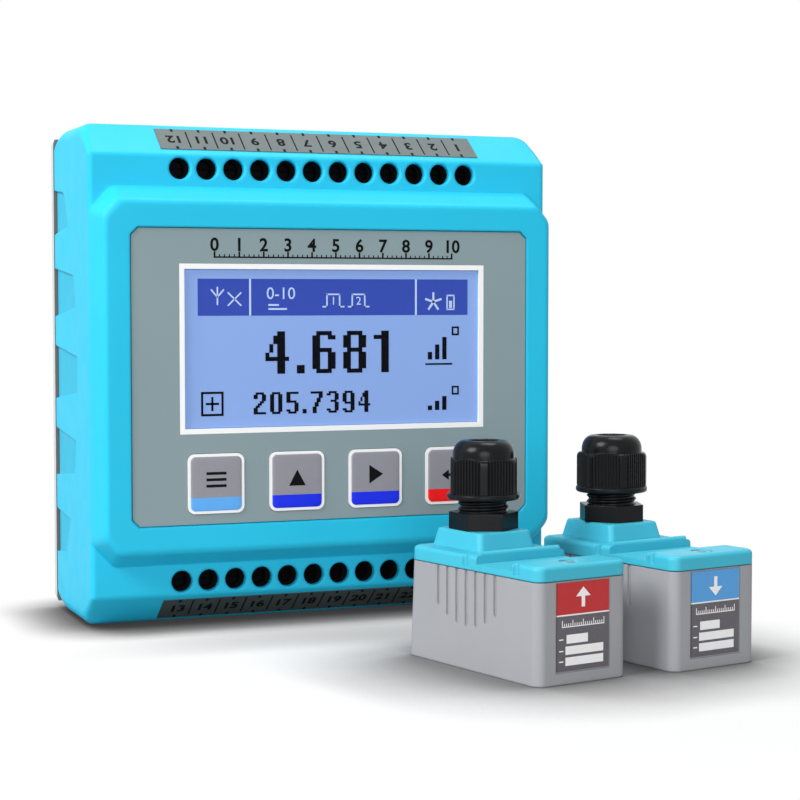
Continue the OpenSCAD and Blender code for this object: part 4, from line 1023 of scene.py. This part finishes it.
# radius as a function of turn and height: a flange, six ribbed flats cut by a rounded bevel,
# and a dome whose section is a quarter ellipse; then down the bore
def domeNut(side):
    n = nutSizes
    offsets = np.array([-1, -1, 1, 1]) * n["ribHalf"] + np.array([-1, 0, 0, 1]) * n["slant"]
    across = (evenRow(n["ribs"], n["ribPitch"])[:, None] + offsets).ravel()
    deep = np.tile([0, n["ribDeep"], n["ribDeep"], 0], n["ribs"])
    corner = np.tan(np.radians(n["corners"])) * n["flat"]
    across = np.concatenate([-corner[::-1], across, corner[:-1]])
    deep = np.concatenate([np.zeros(4), deep, np.zeros(3)])
    turn = (np.arctan(across / n["flat"]) + np.radians(np.arange(6) * 60)[:, None]).ravel()
    flats = np.tile(np.hypot(n["flat"] - deep, across * (n["flat"] - deep) / n["flat"]), 6)
    count = len(turn)
    top, bevel = n["hexTop"], np.linspace(0, math.pi / 2, 6)
    hexZ = np.concatenate([n["hexRows"], top - n["bevel"] * (1 - np.sin(bevel))])
    limit = np.concatenate([np.full(5, n["round"]),
                            n["round"] - (n["round"] - n["bevelR"]) * (1 - np.cos(bevel))])
    hexR = np.minimum(flats, limit[:, None])
    wide, narrow, low, high = n["dome"]
    arc = np.linspace(0, math.pi / 2, 13)
    (roomR, roomZ), (threadR, threadZ), mouth = n["chamber"], n["thread"], n["mouth"]
    domed = np.column_stack([low + (high - low) * np.sin(arc), narrow + (wide - narrow) * np.cos(arc)])
    upper = np.vstack([
        [(top, wide)], domed, [(high - 0.02, mouth + 0.25), (high - 0.25, mouth), (roomZ, mouth),
                               (roomZ, roomR), (threadZ, roomR), (threadZ, threadR), (0, threadR)]])
    flange = np.array(n["flange"])
    z = np.concatenate([flange[:, 0], hexZ, upper[:, 0]])
    r = np.vstack([np.tile(flange[:, 1:], count), hexR, np.tile(upper[:, 1:], count)])
    turn = turn + math.radians(n["turns"][side])
    outlines = np.stack([r * np.cos(turn), r * np.sin(turn) + transducerSizes["glandY"]], -1)
    return uprightRings(outlines, z + n["low"], True)


def transducerPieces():
    body, lid = transducerBody(), transducerLid()
    for side in sides:
        for node, part, finish, slot in (
                ("body", body, "bodyPlastic", "grey_plastic"),
                ("cover", lid, "coverPlastic", "cyan_plastic"),
                ("gland_nut", domeNut(side), "glandPlastic", "black_plastic")):
            standIn(side + "_" + node, onTransducer(side, part), finish)


transducerPieces()
print("transducers made")

# the transducers' labels and the thread under each dome nut
threadSizes = {"low": 36.8, "high": 40.8, "core": 5.88, "crest": 6.38, "pitch": 1.5,
               "around": 96, "along": 60}


def labelPrint(side):
    y, t = labelSizes["y"], labelSizes["thick"]
    boxes = ((0.18, 0.59, 0.59, 0.69), (0.16, 0.89, 0.72, 0.815), (0.16, 0.89, 0.845, 0.94))
    parts = [rectangle(labelX(a), labelX(b), labelZ(d), labelZ(c), y, t) for a, b, c, d in boxes]
    # an arrow in the head shows which way this one points along the pipe
    way = 1 if side == "upstream" else -1
    arrow = np.array([(-0.45, -2.2), (0.45, -2.2), (0.45, 0.3), (1.9, 0.3), (0, 2.5), (-1.9, 0.3),
                      (-0.45, 0.3)]) * [1.15, way]
    parts.append(plateMesh(arrow[::way] + [0, labelZ(0.18)], y, t))
    # short rules beside the boxes and a row of ticks under the head
    rows = [(labelX(0.04), labelZ(z), labelX(0.12), labelZ(z), 0.28) for z in (0.64, 0.77, 0.89)]
    rows += [(x, labelZ(0.5), x, labelZ(0.5 - (0.075 if i % 5 == 0 else 0.04)), 0.22)
             for i, x in enumerate(np.linspace(labelX(0.1), labelX(0.9), 21))]
    rows += [(labelX(0.09), labelZ(0.5), labelX(0.91), labelZ(0.5), 0.22)]
    parts.append(strokeMesh(rows, y + t / 2, t))
    meshPiece(side + "_label_print", onTransducer(side, joinMeshes(parts)), "whiteInk",
              side + "_transducer")


# helix on a grid of angle and height: the radius follows a rounded wave of height minus turn
def glandThread(side):
    s = threadSizes
    turn, height = np.meshgrid(
        np.linspace(0, 2 * math.pi, s["around"], endpoint=False),
        np.linspace(s["low"], s["high"], s["along"]))
    wave = (height - s["low"]) / s["pitch"] - turn / (2 * math.pi)
    shape = np.clip(1.6 * np.abs((wave % 1) * 2 - 1) - 0.3, 0, 1)
    radius = s["core"] + (s["crest"] - s["core"]) * shape
    x, y = radius * np.cos(turn), radius * np.sin(turn) + transducerSizes["glandY"]
    thread = ringMesh(np.stack([x, y, height], -1))
    meshPiece(side + "_gland_thread", onTransducer(side, thread), "glandPlastic",
              side + "_transducer", 50)


for side in sides:
    labelPrint(side)
    glandThread(side)
print("strips, labels and threads made")

# lights and floor
lightSizes = {
    "ambient": 0.4, "aim": (0, -0.05, 0.06),
    "key": {"place": (-1.2, -0.36, 1.0), "power": 23.5, "size": 0.8},
    "fill": {"place": (-0.58, -1.67, 0.38), "power": 15.8, "size": 1.1},
    "top": {"place": (0.35, 0.1, 1.5), "power": 9, "size": 0.7},
}
for name in ("key", "fill", "top"):
    light = lightSizes[name]
    data = bpy.data.lights.new(name + "Light", "AREA")
    data.energy, data.size, data.shape = light["power"], light["size"], "DISK"
    lamp = linked(name + "Light", data)
    lamp.location = light["place"]
    aim = Vector(lightSizes["aim"]) - Vector(light["place"])
    lamp.rotation_euler = aim.to_track_quat("-Z", "Y").to_euler()


# white where the camera, a reflection or a see-through ray looks, plain light otherwise
def backdropFactor(tree):
    path = addNode(tree, "LightPath", {})
    total = path.outputs["Is Camera Ray"]
    for ray in ("Is Glossy Ray", "Is Transmission Ray"):
        total = mathNode(tree, "MAXIMUM", total, path.outputs[ray])
    return total


def mixedShader(tree, factor, first, second):
    return addNode(tree, "MixShader", {0: factor, 1: first.outputs[0], 2: second.outputs[0]})


def emptyTree(owner):
    owner.use_nodes = True
    owner.node_tree.nodes.clear()
    return owner.node_tree


scene.world = bpy.data.worlds.new("studio")
worldTree = emptyTree(scene.world)
plain = addNode(worldTree, "Background", {"Strength": lightSizes["ambient"]})
white = addNode(worldTree, "Background", {"Color": (1, 1, 1, 1)})
either = mixedShader(worldTree, backdropFactor(worldTree), plain, white)
addNode(worldTree, "OutputWorld", {0: either.outputs[0]})

# wide and thin shade the floor near a piece: how far, how strongly, and the darkest and palest tone
floorSizes = {"half": 6.0, "centre": (0.012, -0.12, 0), "reach": (0.045, 0.115),
              "wide": (0.045, 6.0, 0.2, 0.74), "thin": (0.02, 3.0, 0.04, 1.0)}
half = floorSizes["half"]
floorMesh = rawMesh(
    "floor", [(-half, -half, 0), (half, -half, 0), (half, half, 0), (-half, half, 0)], [(0, 1, 2, 3)])
floor = linked("floor", floorMesh)
floorMaterial = bpy.data.materials.new("whiteFloor")
floorTree = emptyTree(floorMaterial)
bounce = addNode(floorTree, "BsdfDiffuse", {"Color": (0.4, 0.4, 0.41, 1)})
shaded = []
for kind, (distance, power, dark, pale) in (
        ("BsdfDiffuse", floorSizes["wide"]), ("Emission", floorSizes["thin"])):
    closeBy = addNode(floorTree, "AmbientOcclusion", {"Distance": distance})
    deeper = mathNode(floorTree, "POWER", closeBy.outputs["AO"], power)
    shaded.append(addNode(floorTree, kind, {"Color": spread(floorTree, deeper, dark, pale, 0, 1)}))
# the wide shade near the transducers gives way to the thin one further out
away = addNode(floorTree, "VectorMath", {0: objectCoords(floorTree), 1: floorSizes["centre"]},
               operation="DISTANCE")
outward = spread(floorTree, away.outputs["Value"], 0, 1, *floorSizes["reach"])
seen = mixedShader(floorTree, outward, *shaded)
mixed = mixedShader(floorTree, backdropFactor(floorTree), bounce, seen)
addNode(floorTree, "OutputMaterial", {0: mixed.outputs[0]})
floorMesh.materials.append(floorMaterial)
scene.view_settings.view_transform = "Standard"
print("lights and floor set")
